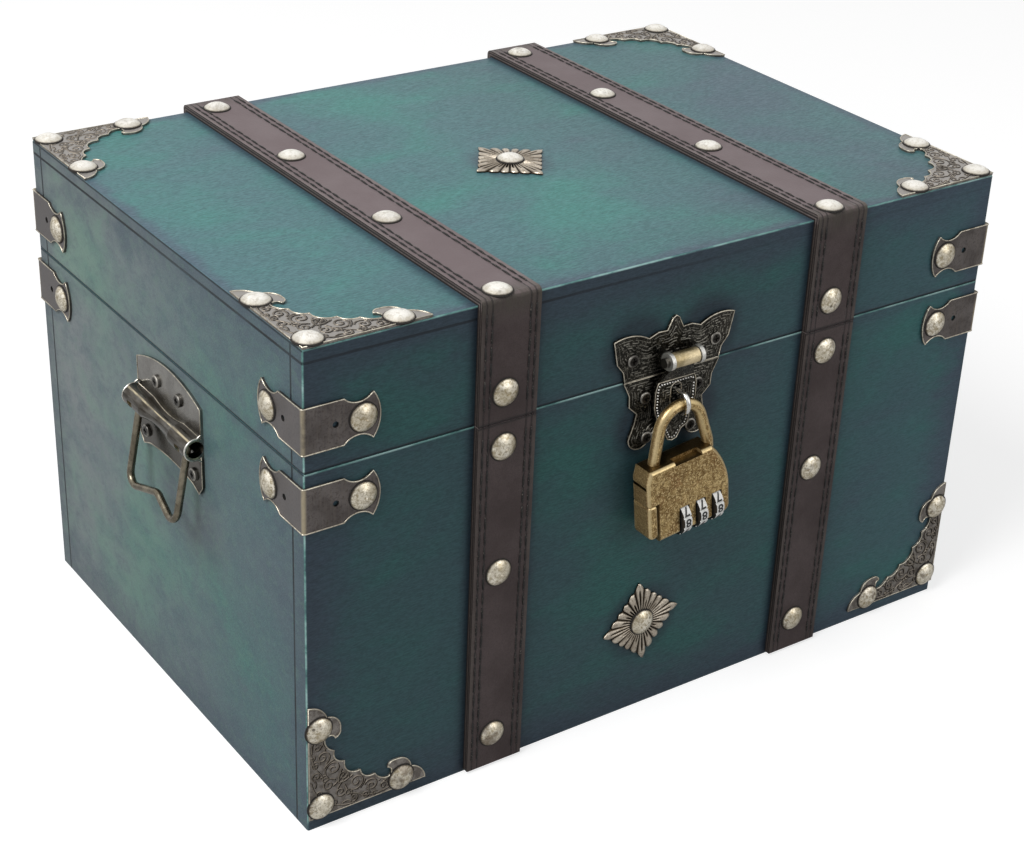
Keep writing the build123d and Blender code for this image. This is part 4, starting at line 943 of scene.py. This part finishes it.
# Scroll relief on the corner plates, in shares of an arm: centre, start and end radius, start angle, turns
plate_arm = 50.4 * mm
plate_thickness = 0.9 * mm
plate_foot = 5.4 * mm
groove_shift = 0.4 * mm
scrolls = (
    ((0.4, 0.205), 0.08, 0.012, -150, 1.6),
    ((0.53, 0.12), 0.066, 0.01, 160, -1.5),
    ((0.635, 0.07), 0.04, 0.008, -20, 1.2),
    ((0.265, 0.165), 0.06, 0.01, 60, -1.5),
    ((0.38, 0.065), 0.045, 0.008, 200, 1.3),
    ((0.3, 0.295), 0.052, 0.008, 240, 1.4),
    ((0.48, 0.055), 0.042, 0.008, 80, -1.4),
    ((0.33, 0.13), 0.04, 0.008, -60, 1.3),
    ((0.465, 0.3), 0.036, 0.007, 20, 1.3),
    ((0.21, 0.09), 0.04, 0.008, 120, 1.4),
    ((0.385, 0.32), 0.034, 0.007, 200, -1.3),
    ((0.6, 0.165), 0.032, 0.007, 250, 1.2),
    ((0.555, 0.03), 0.026, 0.006, 30, 1.2),
)
leaves = (
    ((0.2, 0.24), (0.27, 0.28), (0.33, 0.36)),
    ((0.33, 0.12), (0.42, 0.1), (0.47, 0.03)),
    ((0.46, 0.05), (0.53, 0.03), (0.6, 0.02)),
    ((0.45, 0.26), (0.47, 0.22), (0.53, 0.2)),
    ((0.57, 0.18), (0.6, 0.14), (0.66, 0.115)),
    ((0.22, 0.06), (0.3, 0.02), (0.38, 0.015)),
    ((0.6, 0.03), (0.66, 0.02), (0.71, 0.05)),
    ((0.3, 0.22), (0.31, 0.17), (0.35, 0.13)),
    ((0.25, 0.25), (0.33, 0.25), (0.37, 0.28)),
    ((0.43, 0.13), (0.47, 0.16), (0.48, 0.21)),
    ((0.28, 0.05), (0.33, 0.08), (0.36, 0.03)),
    ((0.5, 0.24), (0.54, 0.22), (0.57, 0.24)),
    ((0.63, 0.1), (0.66, 0.13), (0.7, 0.12)),
)


def spiral(centre, start, end, angle, turns, steps=26):
    for step in range(steps + 1):
        share = step / steps
        radius = start + (end - start) * share**0.8
        at = math.radians(angle + 360 * turns * share)
        yield centre[0] + radius * math.cos(at), centre[1] + radius * math.sin(at)


def bend(points, steps=8):
    """A smooth line through three points."""
    (ax, ay), (bx, by), (cx, cy) = points
    for step in range(steps + 1):
        t = step / steps
        yield (
            (1 - t) ** 2 * ax + 2 * t * (1 - t) * bx + t * t * cx,
            (1 - t) ** 2 * ay + 2 * t * (1 - t) * by + t * t * cy,
        )


def within(x, y, loop, margin):
    """True for a point inside a closed flat outline and not nearer to its line than the margin."""
    found = False
    for (ax, ay), (bx, by) in zip(loop, loop[1:] + loop[:1]):
        if (ay > y) != (by > y) and x < ax + (y - ay) * (bx - ax) / (by - ay):
            found = not found
        run, rise = bx - ax, by - ay
        share = ((x - ax) * run + (y - ay) * rise) / max(run * run + rise * rise, 1e-15)
        share = min(1.0, max(0.0, share))
        if math.hypot(x - ax - share * run, y - ay - share * rise) < margin:
            return False
    return found


def clipped(line, loops, first, second):
    """The stretches of a line that lie on a plate, clear of its rim."""
    margin = 0.55 * mm
    runs, run = [], []
    for spot in line:
        x, y = spot.dot(first), spot.dot(second)
        if any(within(x, y, loop, margin) for loop in loops):
            run.append(spot)
        else:
            runs.append(run)
            run = []
    return [part for part in runs + [run] if len(part) > 1]


def plate_scrolls(name, body, corners, out, node, chosen):
    """Raised scrolls with a dark line along each, on the plates with these corners and arm directions."""
    raised, sunk = [], []
    second_axis = out.cross(east)
    loops = long_outlines(node, chosen)
    plates = [[(spot.dot(east), spot.dot(second_axis)) for spot in loop] for loop in loops]
    lines = [list(spiral(*scroll)) for scroll in scrolls] + [list(bend(leaf)) for leaf in leaves]
    for corner, along, across in corners:
        ground = corner + out * plate_thickness
        for first, second in ((along, across), (across, along)):
            for line in lines:
                spots = [ground + (first * a + second * b) * plate_arm for a, b in line]
                for run in clipped(spots, plates, east, second_axis):
                    raised.append(run)
                    sunk.append([spot + (along - across) * groove_shift for spot in run])
    add_wires(name + "_scrolls", raised, 0.24, relief_bronze, body)
    add_wires(name + "_grooves", sunk, 0.22, groove_bronze, body)


top_corners, front_corners = [], []
for sx in sides:
    front_corners.append((Vector((sx * half_width, -half_depth, plate_foot)), -sx * east, upward))
    for sy in sides:
        top_corners.append((Vector((sx * half_width, sy * half_depth, top_z)), -sx * east, -sy * north))
plate_scrolls("top_plate", "lid", top_corners, upward, "top_corner_plates", on_top)
plate_scrolls("bottom_plate", "base", front_corners, south, "bottom_corner_plates", on_front)


def dial_numbers():
    """Ten numbers round each dial, upright when the lock is held by its body, with 8 facing the front."""
    across, up = turned(lock_roll, east, upward), turned(lock_roll, upward, -east)
    first = Vector((-0.817, -119.1, 92.886)) * mm
    radius, pitch, strip = 7.8 * mm, 7.9 * mm, 0.4 * mm
    shapes = []
    for number in range(10):
        text = bpy.data.curves.new("number", "FONT")
        text.body = str(number)
        text.size = 5.2 * mm
        text.offset = 0.11 * mm
        text.align_x, text.align_y = "CENTER", "CENTER"
        text.extrude = 0.05 * mm
        text.resolution_u = 3
        holder = place("number", text)
        shape = bpy.data.meshes.new_from_object(holder.evaluated_get(bpy.context.evaluated_depsgraph_get()))
        # Cut into strips, so that the number bends round the dial
        strips = bmesh.new()
        strips.from_mesh(shape)
        for level in range(-4, 5):
            parts = strips.verts[:] + strips.edges[:] + strips.faces[:]
            bmesh.ops.bisect_plane(strips, geom=parts, plane_co=(0, level * strip, 0), plane_no=(0, 1, 0))
        strips.verts.index_update()
        polygons = [tuple(v.index for v in f.verts) for f in strips.faces]
        shapes.append(([v.co.copy() for v in strips.verts], polygons))
        strips.free()
        bpy.data.objects.remove(holder)
        bpy.data.meshes.remove(shape)
    for dial in range(3):
        centre = first + across * dial * pitch
        vertices, faces = [], []
        for tenth in range(10):
            spots, polygons = shapes[(8 - tenth) % 10]
            start = len(vertices)
            for spot in spots:
                outward = turned(36 * tenth - math.degrees(spot.y / radius), south, up)
                vertices.append(centre - across * spot.x + outward * (radius + spot.z))
            faces += [tuple(start + i for i in polygon) for polygon in polygons]
        name, body = f"dial_{dial + 1}_numbers", f"lock_dial_{dial + 1}"
        add_mesh(name, vertices, faces, number_ink, body, smooth=False)


dial_numbers()


# Stitching: two dark rows along each side of every strap
stitch_pitch = 6.5 * mm
stitch_length = 5.7 * mm
stitch_radius = 0.52 * mm
stitch_lean = 0.24
stitch_rings = ((-0.5, 0.15), (-0.44, 0.8), (0.0, 1.0), (0.44, 0.8), (0.5, 0.15))


def stitch_rows(name, body, runs):
    """Stitches laid along runs of (start, end, outward)."""
    vertices, faces = [], []
    around = 6
    draw = random.Random(len(name))
    for start, end, out in runs:
        along = (end - start).normalized()
        across = along.cross(out)
        spokes = arms(around, across, out)
        count = int((end - start).length / stitch_pitch)
        slack = (end - start).length - count * stitch_pitch
        for index in range(count):
            middle = start + along * (slack / 2 + (index + 0.5) * stitch_pitch)
            lean = across * draw.uniform(-stitch_lean, stitch_lean) * mm
            first = len(vertices)
            for share, girth in stitch_rings:
                centre = middle + along * share * stitch_length + lean * share * 2
                centre = centre - out * stitch_radius * (1 - girth) * 0.9
                vertices += [centre + arm * stitch_radius * girth for arm in spokes]
            faces += tube_faces(first, len(stitch_rings), around)
            faces.append(tuple(reversed(range(first, first + around))))
            faces.append(tuple(range(len(vertices) - around, len(vertices))))
    add_mesh(name, vertices, faces, thread_dark, body)


front_skin = -half_depth - strap_thickness
back_skin = half_depth + strap_thickness
top_skin = top_z + strap_thickness
fold_clearance = 3 * mm
lid_span, base_span = (157 * mm, 198.5 * mm), (5 * mm, 148 * mm)
lines = [x + side * (strap_half - row) for x in strap_xs for side in sides for row in row_insets]
lid_runs, base_runs = [], []
for x in lines:
    for y, out in ((front_skin, south), (back_skin, north)):
        lid_runs.append((*(Vector((x, y, z)) for z in lid_span), out))
        base_runs.append((*(Vector((x, y, z)) for z in base_span), out))
    ends = (front_skin + fold_clearance, back_skin - fold_clearance)
    lid_runs.append((*(Vector((x, y, top_skin)) for y in ends), upward))
stitch_rows("lid_strap_stitches", "lid", lid_runs)
stitch_rows("base_strap_stitches", "base", base_runs)


# Room, lights and camera


def make_floor():
    """A pale floor that the camera sees as white, apart from the chest's shadow."""
    size, level = 6.0, -0.2 * mm
    grey, glow, in_metal = 0.48, 0.68, 0.2
    mesh = bpy.data.meshes.new("floor")
    corners = [(x * size, y * size, level) for x, y in ((-1, -1), (1, -1), (1, 1), (-1, 1))]
    mesh.from_pydata(corners, [], [(0, 1, 2, 3)])
    material = bpy.data.materials.new("floor_paper")
    material.use_nodes = True
    material.node_tree.nodes.clear()
    tree = Tree(material.node_tree)
    path = tree.node("LightPath").outputs
    seen = tree.most(path["Is Camera Ray"], tree.mul(path["Is Glossy Ray"], in_metal))
    light = tree.node("Emission", None, tree.mul(seen, glow)).outputs[0]
    paper = tree.node("BsdfDiffuse", (grey, grey, grey)).outputs[0]
    tree.node("OutputMaterial", tree.node("AddShader", paper, light).outputs[0])
    mesh.materials.append(material)
    place("floor", mesh)


def make_world(level, high, low):
    """White to the camera, dimmer as light, and in reflections dimmer low before the chest than above it."""
    world = bpy.data.worlds.new("studio")
    bpy.context.scene.world = world
    world.use_nodes = True
    tree = Tree(world.node_tree)
    path = tree.node("LightPath").outputs
    towards = tree.node("TexCoord").outputs["Generated"]
    height = tree.node("VectorMath", towards, (0, 0.6, 0.8), operation="DOT_PRODUCT").outputs["Value"]
    mirrored = tree.ramp(height, -0.5, 0.3, low, high)
    strength = level
    for ray, seen in (("Is Glossy Ray", mirrored), ("Is Transmission Ray", 1.0), ("Is Camera Ray", 1.0)):
        strength = tree.node("Mix", path[ray], None, strength, seen).outputs[0]
    background = world.node_tree.nodes["Background"].inputs
    tree.plug(background["Color"], (1, 1, 1))
    tree.plug(background["Strength"], strength)


def make_lamp(name, spot, size, power):
    aim = (0, 0, 0.1)
    light = bpy.data.lights.new(name, "AREA")
    light.shape = "DISK"
    light.size = size
    light.energy = power
    lamp = place(name, light)
    lamp.location = spot
    lamp.rotation_mode = "QUATERNION"
    lamp.rotation_quaternion = (Vector(aim) - lamp.location).to_track_quat("-Z", "Y")


def make_camera():
    """The camera that the photograph was solved for: its axes, place and lens."""
    right = (0.82407651, -0.56524185, 0.03741059)
    up = (0.24204218, 0.41104748, 0.87889451)
    back = (-0.51216549, -0.71522138, 0.47554694)
    spot = Vector((-0.4533, -0.6394, 0.4987))
    focal_pixels, picture_width = 2058.87, 1024
    data = bpy.data.cameras.new("camera")
    data.sensor_width = 36
    data.lens = focal_pixels / picture_width * data.sensor_width
    camera = place("camera", data)
    camera.matrix_world = Matrix.Translation(spot) @ Matrix((right, up, back)).transposed().to_4x4()
    bpy.context.scene.camera = camera


make_floor()
make_world(level=0.32, high=1.0, low=0.4)
make_lamp("key", (-1.45, -0.25, 1.7), size=1.2, power=37)
make_lamp("fill", (0.9, -1.8, 0.9), size=1.4, power=8.0)
make_camera()
bpy.context.scene.view_settings.view_transform = "Standard"
